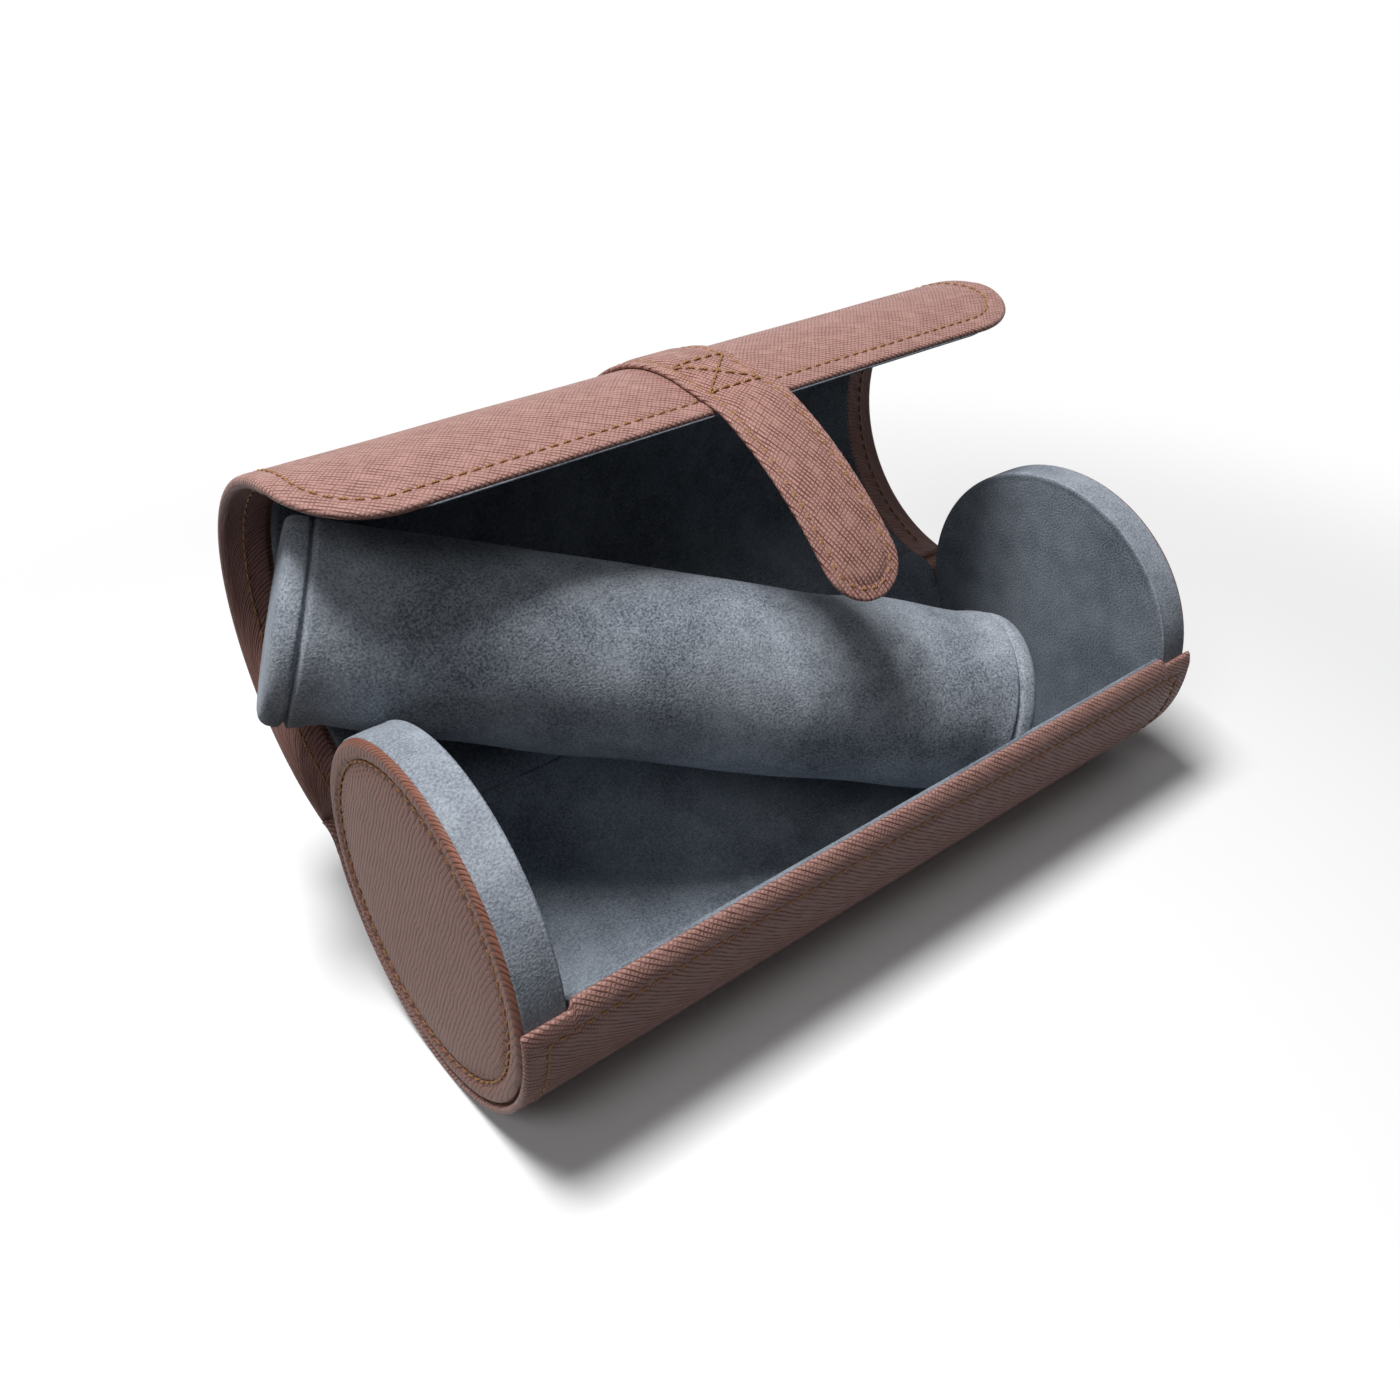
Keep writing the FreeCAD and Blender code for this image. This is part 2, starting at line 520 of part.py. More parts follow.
# Strap tail: the free end beyond the lid, a short bend and then a long gentle curve to a round tip
BEND_CENTRE = (f"(-{LID_OUT} + Sizes.tail_bend_radius)", "(-Sizes.lid_skirt)")
CURVE_SHIFT = "(Sizes.tail_radius - Sizes.tail_bend_radius)"
TAIL_CENTRE = (
    f"({BEND_CENTRE[0]} + {CURVE_SHIFT} * cos(Sizes.tail_bend_angle * 1 deg))",
    f"({BEND_CENTRE[1]} + {CURVE_SHIFT} * sin(Sizes.tail_bend_angle * 1 deg))",
)
BEND_END = "(180 + Sizes.tail_bend_angle)"
TAIL_END = "(180 + Sizes.tail_bend_angle + Sizes.tail_angle)"
tail_middle = FreeCAD.Vector(0, value(TAIL_CENTRE[0]), value(TAIL_CENTRE[1]))
tip_spot = tail_middle + polar(value("Sizes.tail_radius"), value(TAIL_END))


def at_tip(edge):
    """True for the two short edges across the thickness of the strap at its tip."""
    near = (edge.BoundBox.Center - tip_spot).Length < value("Sizes.strap_width / 2 + 3 * Sizes.strap_layer")
    return near and edge.Length < 1.5 * value("Sizes.strap_layer") and edge.BoundBox.XLength < 1e-6


def tail_layer(name, depth):
    """One leather layer of the tail; depth is its distance from the tail's inner face."""
    body = new_body(name)
    levels = (f"({depth})", f"({depth} + Sizes.strap_layer)")
    bend = [f"(Sizes.tail_bend_radius + {level})" for level in levels]
    curve = [f"(Sizes.tail_radius + {level})" for level in levels]
    sector(body, "Bend", *bend, "180", BEND_END, STRAP_LEFT, STRAP_RIGHT, BEND_CENTRE)
    long_curve = sector(body, "Curve", *curve, BEND_END, TAIL_END, STRAP_LEFT, STRAP_RIGHT, TAIL_CENTRE)
    round_edges(body, long_curve, at_tip, TIP_ROUND)
    return body


hand_in(tail_layer("StrapTail", "Sizes.strap_layer"), "strap_tail", OPEN_LID)
tail_magnet_angle = f"({TAIL_END} - Sizes.strap_magnet_back / Sizes.tail_radius * {DEGREES_PER_RADIAN})"
tail_out = polar(1.0, value(tail_magnet_angle))
tail_reach = (
    "(((Sizes.tail_radius + Sizes.strap_layer) ^ 2 - Sizes.strap_magnet_radius ^ 2) ^ 0.5 - Sizes.magnet_gap)"
)
tail_spot = tail_middle + tail_out * value(tail_reach) + FreeCAD.Vector(value("Sizes.strap_centre"), 0, 0)
strap_magnet_sizes = ("Sizes.strap_magnet_radius", "Sizes.strap_magnet_height", tail_spot, tail_out)
strap_magnet, strap_magnet_place = flat_magnet("StrapMagnet", *strap_magnet_sizes)
hand_in(strap_magnet, "strap_magnet", OPEN_LID * strap_magnet_place)
strap_tail_backing = DOC.addObject("Part::Cut", "StrapTailBacking")
strap_tail_backing.Base = tail_layer("StrapTailBackingBody", "0")
strap_tail_backing.Tool = magnet_seat("StrapMagnetSeat", *strap_magnet_sizes, "Sizes.strap_layer")
hand_in(strap_tail_backing, "strap_tail_backing", OPEN_LID)


def hinge_strip(label, radius_tray, radius_lid, lid_angle, thickness, half_width):
    """A strip bent from the tray's back edge to the lid's, as it lies with the lid open.

    Its arc leaves the tray's edge along the tray's wall and passes through the lid's edge.
    """
    tray_angle = value(TRAY_BACK)
    begin = polar(value(radius_tray), tray_angle)
    outwards = polar(1.0, tray_angle)
    lid_edge = HINGE + LID_TURN.multVec(polar(value(radius_lid), value(lid_angle)) - HINGE)
    reach = lid_edge - begin
    bow = reach.dot(reach) / (2 * reach.dot(outwards))
    centre = begin + outwards * bow
    first = math.atan2(begin.z - centre.z, begin.y - centre.y)
    last = math.atan2(lid_edge.z - centre.z, lid_edge.y - centre.y)
    first = first if first > 0 else first + 2 * math.pi
    last = last + value("Sizes.hinge_seam") / bow
    half = value(thickness) / 2
    x_low = -value(half_width)

    def at(radius, angle):
        return centre + FreeCAD.Vector(x_low, radius * math.cos(angle), radius * math.sin(angle))

    middle = (first + last) / 2
    low, high = bow - half, bow + half
    edges = [
        Part.Arc(at(low, first), at(low, middle), at(low, last)).toShape(),
        Part.LineSegment(at(low, last), at(high, last)).toShape(),
        Part.Arc(at(high, last), at(high, middle), at(high, first)).toShape(),
        Part.LineSegment(at(high, first), at(low, first)).toShape(),
    ]
    strip = DOC.addObject("Part::Feature", label.title().replace("_", ""))
    face = Part.Face(Part.Wire(edges))
    strip.Shape = face.extrude(FreeCAD.Vector(2 * value(half_width), 0, 0))
    return hand_in(strip, label, STANDING)


# Hinge: the outer leather and the suede lining, each folded between tray and lid
leather_middle = f"({TRAY_OUT} - Sizes.tray_leather / 2)"
lid_leather_middle = f"({LID_OUT} - Sizes.lid_leather / 2)"
hinge_strip("hinge_leather", leather_middle, lid_leather_middle, LID_BACK, "Sizes.tray_leather", HALF)
suede_middle = "(Sizes.end_radius - Sizes.tray_lining / 2)"
lid_suede_middle = f"({LID_BOARD_IN} - Sizes.lid_lining / 2)"
hinge_strip(
    "hinge_suede", suede_middle, lid_suede_middle, "Sizes.lid_lining_back", "Sizes.hinge_suede", lining_reach
)

# Cushion: a foam roll in a suede sleeve, with a stiffened suede cap at each end
cushion_core_span = ("Sizes.cushion_cap", f"({CUSHION_LENGTH} - Sizes.cushion_cap)")
core_radius = f"({CUSHION_RADIUS} - Sizes.cushion_suede)"
cushion_core = new_body("CushionCore")
barrel(cushion_core, "Roll", *cushion_core_span, core_radius, "Sizes.cushion_crown")
hand_in(cushion_core, "cushion_core", CUSHION)
cushion_sleeve = new_body("CushionSleeve")
barrel(cushion_sleeve, "Roll", *cushion_core_span, CUSHION_RADIUS, "Sizes.cushion_crown", core_radius)
hand_in(cushion_sleeve, "cushion_sleeve", CUSHION)
for word, x_from, x_to in (
    ("left", "0", "Sizes.cushion_cap"),
    ("right", f"({CUSHION_LENGTH} - Sizes.cushion_cap)", CUSHION_LENGTH),
):
    cap = new_body(f"Cushion{word.title()}Cap")
    cap_pad = disc(cap, "Plate", [CUSHION_RADIUS], x_from, x_to)
    rim_x = value(x_from if word == "left" else x_to)
    round_edges(cap, cap_pad, edges_at(rim_x), "Sizes.cushion_cap_round")
    hand_in(cap, f"cushion_{word}_cap", CUSHION)

# Every object has to be sound before anything is written
DOC.recompute()
for item in DOC.Objects:
    if {"Invalid", "Error"} & set(item.State):
        raise RuntimeError(f"{item.Name} failed: {item.State}")
for node in NODES:
    if node.Shape.isNull() or not node.Shape.isValid() or not node.Shape.Solids:
        raise RuntimeError(f"{node.Label} has no valid solid")

os.makedirs("parts", exist_ok=True)
for node in NODES:
    node.Shape.exportStep(f"parts/{node.Label}.step")
    print(f"{node.Label}: {len(node.Shape.Solids)} solid, {node.Shape.Volume / 1000:.2f} cm3")
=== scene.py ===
"""The looks of a round travel roll for watches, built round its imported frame.

Cross-grained leather outside, grey suede inside, a sewn strap and a loose suede cushion. Lengths are in
metres. The case's own section is drawn in the Y and Z plane about its long axis, with the lid shut, and
the lid's pieces are then turned open about the hinge.
"""

from __future__ import annotations

import json
import logging
import math
from dataclasses import dataclass
from enum import Enum

import bmesh
import bpy
import numpy as np
from mathutils import Matrix, Vector

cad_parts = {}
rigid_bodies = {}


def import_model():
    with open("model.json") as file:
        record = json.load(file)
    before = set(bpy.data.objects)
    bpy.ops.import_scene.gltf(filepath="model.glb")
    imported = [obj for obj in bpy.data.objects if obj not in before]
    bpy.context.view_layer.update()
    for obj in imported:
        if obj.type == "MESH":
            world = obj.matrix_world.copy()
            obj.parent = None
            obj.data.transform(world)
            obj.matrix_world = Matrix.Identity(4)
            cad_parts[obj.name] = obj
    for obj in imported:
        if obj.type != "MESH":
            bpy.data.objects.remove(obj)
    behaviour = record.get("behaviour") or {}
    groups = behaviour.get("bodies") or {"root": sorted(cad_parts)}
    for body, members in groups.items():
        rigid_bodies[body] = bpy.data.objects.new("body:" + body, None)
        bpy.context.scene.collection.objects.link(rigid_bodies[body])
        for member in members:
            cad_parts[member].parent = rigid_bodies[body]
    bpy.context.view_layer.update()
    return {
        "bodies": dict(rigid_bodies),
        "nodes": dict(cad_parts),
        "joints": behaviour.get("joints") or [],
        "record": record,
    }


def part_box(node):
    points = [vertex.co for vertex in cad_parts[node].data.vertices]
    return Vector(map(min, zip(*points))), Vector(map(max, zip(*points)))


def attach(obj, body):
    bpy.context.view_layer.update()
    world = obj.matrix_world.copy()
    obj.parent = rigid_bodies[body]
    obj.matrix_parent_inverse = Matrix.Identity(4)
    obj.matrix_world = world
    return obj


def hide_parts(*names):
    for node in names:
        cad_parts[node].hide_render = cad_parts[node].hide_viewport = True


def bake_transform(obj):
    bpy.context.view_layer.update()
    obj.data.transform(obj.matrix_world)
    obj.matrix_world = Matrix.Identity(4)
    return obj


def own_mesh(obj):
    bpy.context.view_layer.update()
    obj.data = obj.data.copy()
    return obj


LOG = logging.getLogger("travel_roll")
MM = 0.001
WELD = 1e-6
SLIVER = 1e-7
Triple = tuple[float, float, float]
SewnLine = tuple[np.ndarray, np.ndarray]


# Small tools for numbers and colours


def linear(hex_colour: str) -> tuple[float, float, float, float]:
    """Turn an sRGB hex colour into linear red, green, blue and alpha.

    Args:
        hex_colour: Six hex digits after a hash sign.

    Returns:
        The linear colour with an alpha of one.
    """
    parts = [int(hex_colour[i : i + 2], 16) / 255 for i in (1, 3, 5)]
    values = [p / 12.92 if p <= 0.04045 else ((p + 0.055) / 1.055) ** 2.4 for p in parts]
    return (values[0], values[1], values[2], 1.0)


def smooth(edge_low: float, edge_high: float, value: np.ndarray) -> np.ndarray:
    """Rise from 0 to 1 between two edges along the curve 3t^2 - 2t^3.

    Args:
        edge_low: Where the rise starts.
        edge_high: Where the rise ends.
        value: The places to work it out at.

    Returns:
        An array between 0 and 1.
    """
    t = np.clip((value - edge_low) / (edge_high - edge_low), 0.0, 1.0)
    return t * t * (3.0 - 2.0 * t)


def ridge(value: np.ndarray, centre: float, width: float) -> np.ndarray:
    """A bell curve exp(-((value - centre) / width)^2), for grooves and swellings.

    Args:
        value: The places to work it out at.
        centre: Where the bell stands.
        width: How far it falls to a third or so.

    Returns:
        An array between 0 and 1.
    """
    return np.exp(-(((value - centre) / width) ** 2))


def edge_graded(count: int, fineness: float = 0.12) -> np.ndarray:
    """Steps from 0 to 1 that are small at both ends: t - (1 - fineness) sin(2 pi t) / (2 pi).

    Args:
        count: How many values.
        fineness: The first step as a share of an even one.

    Returns:
        An array of that many values from 0 to 1.
    """
    t = np.linspace(0.0, 1.0, count)
    return t - (1.0 - fineness) * np.sin(2.0 * np.pi * t) / (2.0 * np.pi)


def gentle_waves(a: np.ndarray, b: np.ndarray, seed: int, wavelength: float, terms: int = 7) -> np.ndarray:
    """A smooth uneven field, the mean of a few sine waves with seeded directions and phases.

    Args:
        a: First coordinate of each place.
        b: Second coordinate of each place.
        seed: Picks the waves.
        wavelength: Mean length of a wave.
        terms: How many waves.

    Returns:
        An array of about -1 to 1.
    """
    draw = np.random.default_rng(seed)
    gain = 1.6
    total = np.zeros(np.broadcast(a, b).shape)
    for _ in range(terms):
        turn = draw.uniform(0.0, 2.0 * np.pi)
        number = 2.0 * np.pi / (wavelength * draw.uniform(0.6, 1.6))
        phase = draw.uniform(0.0, 2.0 * np.pi)
        total += np.sin(number * (a * np.cos(turn) + b * np.sin(turn)) + phase)
    return total / terms * gain


# Meshes


def new_object(name: str, mesh: bpy.types.Mesh, material: bpy.types.Material) -> bpy.types.Object:
    """Put a mesh into the scene as an object at the origin.

    Args:
        name: The piece's name.
        mesh: Its mesh, in place.
        material: Its material.

    Returns:
        The new object.
    """
    mesh.materials.append(material)
    piece = bpy.data.objects.new(name, mesh)
    bpy.context.scene.collection.objects.link(piece)
    LOG.info("%s: %d faces", name, len(mesh.polygons))
    return piece


def merge_close(mesh: bpy.types.Mesh) -> None:
    """Join vertices that lie in one place, and turn every face outwards."""
    work = bmesh.new()
    work.from_mesh(mesh)
    bmesh.ops.remove_doubles(work, verts=work.verts, dist=WELD)
    bmesh.ops.dissolve_degenerate(work, dist=SLIVER, edges=work.edges)
    bmesh.ops.recalc_face_normals(work, faces=work.faces)
    work.to_mesh(mesh)
    work.free()


def grid_mesh(name: str, points: np.ndarray, uv: np.ndarray, around: bool = False) -> bpy.types.Mesh:
    """Make a mesh of quads from a grid of points.

    Args:
        name: The mesh's name.
        points: Rows by columns by 3.
        uv: Rows by columns by 2, in metres on the material.
        around: Whether the last column joins the first.

    Returns:
        The mesh, smooth shaded, with a UV map in metres.
    """
    rows, columns = points.shape[:2]
    i, j = np.meshgrid(np.arange(rows - 1), np.arange(columns if around else columns - 1), indexing="ij")
    i, j = i.ravel(), j.ravel()
    next_j = (j + 1) % columns
    corners = [(i, j), (i, next_j), (i + 1, next_j), (i + 1, j)]
    faces = np.stack([a * columns + b for a, b in corners], axis=1)
    mesh = bpy.data.meshes.new(name)
    mesh.vertices.add(rows * columns)
    mesh.vertices.foreach_set("co", points.reshape(-1).astype(np.float32))
    mesh.loops.add(faces.size)
    mesh.loops.foreach_set("vertex_index", faces.reshape(-1).astype(np.int32))
    mesh.polygons.add(len(faces))
    mesh.polygons.foreach_set("loop_start", np.arange(0, faces.size, 4, dtype=np.int32))
    mesh.polygons.foreach_set("loop_total", np.full(len(faces), 4, dtype=np.int32))
    mesh.polygons.foreach_set("use_smooth", np.ones(len(faces), dtype=bool))
    layer = mesh.uv_layers.new(name="surface")
    layer.data.foreach_set("uv", uv.reshape(-1, 2)[faces.reshape(-1)].reshape(-1).astype(np.float32))
    mesh.update(calc_edges=True)
    mesh.validate()
    return mesh


# The case's section


@dataclass(frozen=True)
class Run:
    """One stretch of a line in the section: its length, and its turn to the left in radians."""

    length: float
    turn: float = 0.0


class SidePath:
    """A line in the case's section made of straight and round runs, with a side that points outwards."""

    STEP = 0.05 * MM

    def __init__(self, start: tuple[float, float], heading: float, runs: list[Run]) -> None:
        """Lay the runs end to end; the heading grows evenly along each, and the place is its running sum.

        Args:
            start: Y and Z of the first point.
            heading: Direction of travel there, in radians from +Y towards +Z.
            runs: The stretches in order.
        """
        self.ends = np.concatenate([[0.0], np.cumsum([run.length for run in runs])])
        self.length = float(self.ends[-1])
        turns = heading + np.concatenate([[0.0], np.cumsum([run.turn for run in runs])])
        self.table = np.linspace(0.0, self.length, int(self.length / self.STEP) + 2)
        self.headings = np.interp(self.table, self.ends, turns)
        step = np.diff(self.table)
        middle = (self.headings[1:] + self.headings[:-1]) / 2
        self.y = start[0] + np.concatenate([[0.0], np.cumsum(step * np.cos(middle))])
        self.z = start[1] + np.concatenate([[0.0], np.cumsum(step * np.sin(middle))])

    def place(self, x: np.ndarray, s: np.ndarray, height: np.ndarray) -> np.ndarray:
        """Points at a length along the line and a height on its outer side.

        Args:
            x: Places along the case.
            s: Lengths along the line.
            height: Heights over the line, outwards.

        Returns:
            An array of points with the shape of the inputs.
        """
        x, s, height = np.broadcast_arrays(x, s, height)
        heading = np.interp(s, self.table, self.headings)
        over = np.maximum(s - self.length, 0.0) + np.minimum(s, 0.0)
        y = np.interp(s, self.table, self.y) + over * np.cos(heading) + height * np.sin(heading)
        z = np.interp(s, self.table, self.z) + over * np.sin(heading) - height * np.cos(heading)
        return np.stack([x, y, z], axis=-1)


def round_path(radius: float, begin: float, end: float, more: tuple[Run, ...] = ()) -> SidePath:
    """A line round the case's axis from one polar angle to another, and any runs that follow it.

    Args:
        radius: The line's radius.
        begin: Polar angle of its first point.
        end: Polar angle where the round run ends.
        more: The runs that follow.

    Returns:
        The line.
    """
    start = (radius * math.cos(begin), radius * math.sin(begin))
    sweep = end - begin
    return SidePath(start, begin + math.pi / 2, [Run(radius * sweep, sweep), *more])


@dataclass(frozen=True)
class CaseFrame:
    """The main places of the case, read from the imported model."""

    half: float
    tray_out: float
    axis_z: float
    disc_radius: float
    inner_face: float
    hinge: tuple[float, float]
    open_angle: float
    lid_out: float

    @classmethod
    def read(cls, frame: dict) -> CaseFrame:
        """Work the places out from the nodes' boxes and the lid's joint.


        Returns:
            The places.
        """
        low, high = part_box("tray_leather")
        tray_out = -low.y
        axis_z = low.z + tray_out
        disc_low, disc_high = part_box("left_end_leather")
        joint = next(j for j in frame["joints"] if j["name"] == "lid_hinge")
        hinge = (joint["pos_m"][1], joint["pos_m"][2] - axis_z)
        angle = -math.radians(joint["range_deg"][0])
        lid_centre_y = hinge[0] - hinge[0] * math.cos(angle) - hinge[1] * math.sin(angle)
        return cls(
            half=high.x,
            tray_out=tray_out,
            axis_z=axis_z,
            disc_radius=(disc_high.z - disc_low.z) / 2,
            inner_face=-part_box("left_end_lining")[1].x,
            hinge=hinge,
            open_angle=angle,
            lid_out=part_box("lid_leather")[1].y - lid_centre_y,
        )

    def standing(self, points: np.ndarray) -> np.ndarray:
        """Lift points drawn about the case's axis to where the case stands."""
        return points + np.array([0.0, 0.0, self.axis_z])

    def opened(self, points: np.ndarray) -> np.ndarray:
        """Turn points of the shut lid open about the hinge, and lift them.

        Args:
            points: Points about the case's axis, with the lid shut.

        Returns:
            The points where the open lid has them.
        """
        y, z = points[..., 1] - self.hinge[0], points[..., 2] - self.hinge[1]
        cosine, sine = math.cos(self.open_angle), math.sin(self.open_angle)
        turned = np.stack(
            [points[..., 0], self.hinge[0] + y * cosine + z * sine, self.hinge[1] - y * sine + z * cosine],
            axis=-1,
        )
        return self.standing(turned)


class Place(Enum):
    """Which body's place a piece is drawn in."""

    TRAY = "tray"
    LID = "lid"


@dataclass(frozen=True)
class Outline:
    """A flat cut of leather or suede, before it is bent: a rectangle with rounded corners.

    X runs across it, s from its back edge to its front edge.
    """

    half_width: float
    back: float
    front: float
    front_radius: float
    back_radius: float = 0.6 * MM

    def reach(self, x: np.ndarray) -> np.ndarray:
        """How far forward the cut goes at each X, by the circle of its front corners."""
        inset = np.clip(np.abs(x) - (self.half_width - self.front_radius), 0.0, self.front_radius)
        return self.front - self.front_radius + np.sqrt(self.front_radius**2 - inset**2)

    def depth(self, x: np.ndarray, s: np.ndarray) -> np.ndarray:
        """Distance of a place inside the cut from its edge, as for a rounded box.

        Args:
            x: Places across the cut.
            s: Places along it.

        Returns:
            The distances, zero at the edge.
        """
        ahead = s > (self.back + self.front) / 2
        radius = np.where(ahead, self.front_radius, self.back_radius)
        across = np.abs(x) - self.half_width + radius
        forward = np.where(ahead, s - self.front, self.back - s) + radius
        outside = np.hypot(np.maximum(across, 0.0), np.maximum(forward, 0.0))
        inside = np.minimum(np.maximum(across, forward), 0.0)
        return np.maximum(radius - outside - inside, 0.0)

    def grid(self, columns: int, rows: int, fineness: float = 0.12) -> tuple[np.ndarray, np.ndarray]:
        """A grid over the cut, with small steps along its edges.

        Args:
            columns: Steps across.
            rows: Steps along.
            fineness: The edge step as a share of an even one.

        Returns:
            X and s of the grid, rows by columns.
        """
        x = self.half_width * (2.0 * edge_graded(columns, fineness) - 1.0)
        share = edge_graded(rows, fineness)[:, None]
        x = np.broadcast_to(x, (rows, columns))
        return x, self.back + share * (self.reach(x) - self.back)

    def inset_line(self, inset: float, back: float, samples: int = 400) -> np.ndarray:
        """The line that runs at an inset from the sides and the front edge, left side first.

        Args:
            inset: Distance from the edge.
            back: Where along the sides it starts and ends.
            samples: Points on the whole line.

        Returns:
            X and s of its points, samples by 2.
        """
        least_radius, corner_steps = 0.2 * MM, 40
        side, front = self.half_width - inset, self.front - inset
        radius = max(self.front_radius - inset, least_radius)
        angle = np.linspace(0.0, np.pi / 2, corner_steps)
        corner_x = -side + radius - radius * np.cos(angle)
        corner = np.stack([corner_x, front - radius + radius * np.sin(angle)], 1)
        mirrored = corner[::-1] * np.array([-1.0, 1.0])
        corners = np.concatenate([[[-side, back]], corner, mirrored, [[side, back]]])
        return resample(corners, samples)


def lengths_along(points: np.ndarray) -> np.ndarray:
    """The length walked along a line up to each of its points."""
    steps = np.linalg.norm(np.diff(points, axis=0), axis=1)
    return np.concatenate([[0.0], np.cumsum(steps)])


def taken_at(at: np.ndarray, length: np.ndarray, values: np.ndarray) -> np.ndarray:
    """A line's places or directions at given lengths along it."""
    return np.stack([np.interp(at, length, column) for column in values.T], axis=-1)


def resample(points: np.ndarray, samples: int) -> np.ndarray:
    """Even steps along a line of points.

    Args:
        points: Count by any number of coordinates.
        samples: How many points to give back.

    Returns:
        The new points.
    """
    length = lengths_along(points)
    return taken_at(np.linspace(0.0, length[-1], samples), length, points)


@dataclass
class Layer:
    """A bent layer with two faces and rounded edges, laid along a line of the section.

    Its upper and lower face are heights over the line. Near the edge both close in on their middle like a
    half circle, so that the edge is round.
    """

    name: str
    path: SidePath
    outline: Outline
    place: Place
    columns: int = 160
    rows: int = 120
    fineness: float = 0.12
    centre_x: float = 0.0
    seam_at_front: bool = False

    def upper(self, x: np.ndarray, s: np.ndarray, depth: np.ndarray) -> np.ndarray:
        """Height of the upper face."""
        return np.zeros_like(s)

    def lower(self, x: np.ndarray, s: np.ndarray, depth: np.ndarray) -> np.ndarray:
        """Height of the lower face."""
        return np.full_like(s, -1.0 * MM)

    def faces(self, x: np.ndarray, s: np.ndarray) -> tuple[np.ndarray, np.ndarray]:
        """Heights of both faces with the edge rounded.

        Args:
            x: Places across the cut.
            s: Places along it.

        Returns:
            The upper and the lower heights.
        """
        depth = self.outline.depth(x, s)
        top, bottom = self.upper(x, s, depth), self.lower(x, s, depth)
        middle, half = (top + bottom) / 2, (top - bottom) / 2
        share = np.clip(depth / np.maximum(half, 1e-6), 0.0, 1.0)
        rounding = np.sqrt(np.maximum(1.0 - (1.0 - share) ** 2, 0.0))
        return middle + half * rounding, middle - half * rounding

    def slid(self, x: np.ndarray, s: np.ndarray) -> np.ndarray:
        """Lengths along the line where places of the flat cut come to lie."""
        return s

    def flattened(self, x: np.ndarray, s: np.ndarray, top: np.ndarray, bottom: np.ndarray) -> np.ndarray:
        """UVs in metres: the way walked over both faces, forward from the back and sideways from the middle.

        Each step is the hypotenuse of the step on the flat cut and the change of height, so the pattern
        runs on round the edge, and its seam lies at the back edge or at the front one.

        Args:
            x: Places across the cut.
            s: Places along it.
            top: Heights of the upper face.
            bottom: Heights of the lower face.

        Returns:
            UVs of the upper face's rows, then of the lower face's rows from the front.
        """
        walked = []
        for height in (top, bottom):
            across = np.cumsum(np.hypot(np.diff(x, axis=1), np.diff(height, axis=1)), axis=1)
            forward = np.cumsum(np.hypot(np.diff(s, axis=0), np.diff(height, axis=0)), axis=0)
            u = np.pad(across, ((0, 0), (1, 0)))
            v = np.pad(forward, ((1, 0), (0, 0)))
            walked.append(np.stack([u - u[:, [u.shape[1] // 2]], v], axis=-1))
        over, under = walked
        if self.seam_at_front:
            under[..., 1] *= -1.0
        else:
            under[..., 1] = over[-1:, :, 1] + under[-1:, :, 1] - under[..., 1]
        return np.concatenate([over, under[::-1]])

    def put(self, case: CaseFrame, points: np.ndarray) -> np.ndarray:
        """Move points from the shut case to where their body stands."""
        points = points + np.array([self.centre_x, 0.0, 0.0])
        return case.opened(points) if self.place is Place.LID else case.standing(points)

    def build(self, case: CaseFrame, material: bpy.types.Material) -> bpy.types.Object:
        """Make the layer's mesh: the upper face forward, then the lower face back, as one closed sheet.

        Args:
            case: The case's places.
            material: The layer's material.

        Returns:
            The new object.
        """
        x, s = self.outline.grid(self.columns, self.rows, self.fineness)
        top, bottom = self.faces(x, s)
        loop_x = np.concatenate([x, x[::-1]])
        loop_s = np.concatenate([s, s[::-1]])
        height = np.concatenate([top, bottom[::-1]])
        points = self.put(case, self.path.place(loop_x, self.slid(loop_x, loop_s), height))
        mesh = grid_mesh(self.name, points, self.flattened(x, s, top, bottom))
        merge_close(mesh)
        return new_object(self.name, mesh, material)

    def line_on_top(self, case: CaseFrame, line: np.ndarray) -> SewnLine:
        """Points and outward directions along a line on the upper face, for sewing.

        Args:
            case: The case's places.
            line: X and s of the line's points.

        Returns:
            The points and the directions.
        """
        x, s = line[:, 0], line[:, 1]
        top, _ = self.faces(x, s)
        return self.sewn(case, x, s, top, 1.0)

    def line_below(self, case: CaseFrame, line: np.ndarray) -> SewnLine:
        """Points and directions along a line on the lower face."""
        x, s = line[:, 0], line[:, 1]
        _, bottom = self.faces(x, s)
        return self.sewn(case, x, s, bottom, -1.0)

    def sewn(
        self, case: CaseFrame, x: np.ndarray, s: np.ndarray, height: np.ndarray, sign: float
    ) -> SewnLine:
        """Places and directions on one face, moved to where the body stands."""
        s = self.slid(x, s)
        on_face = self.put(case, self.path.place(x, s, height))
        above = self.put(case, self.path.place(x, s, height + sign * MM))
        return on_face, (above - on_face) / MM


# Sewing


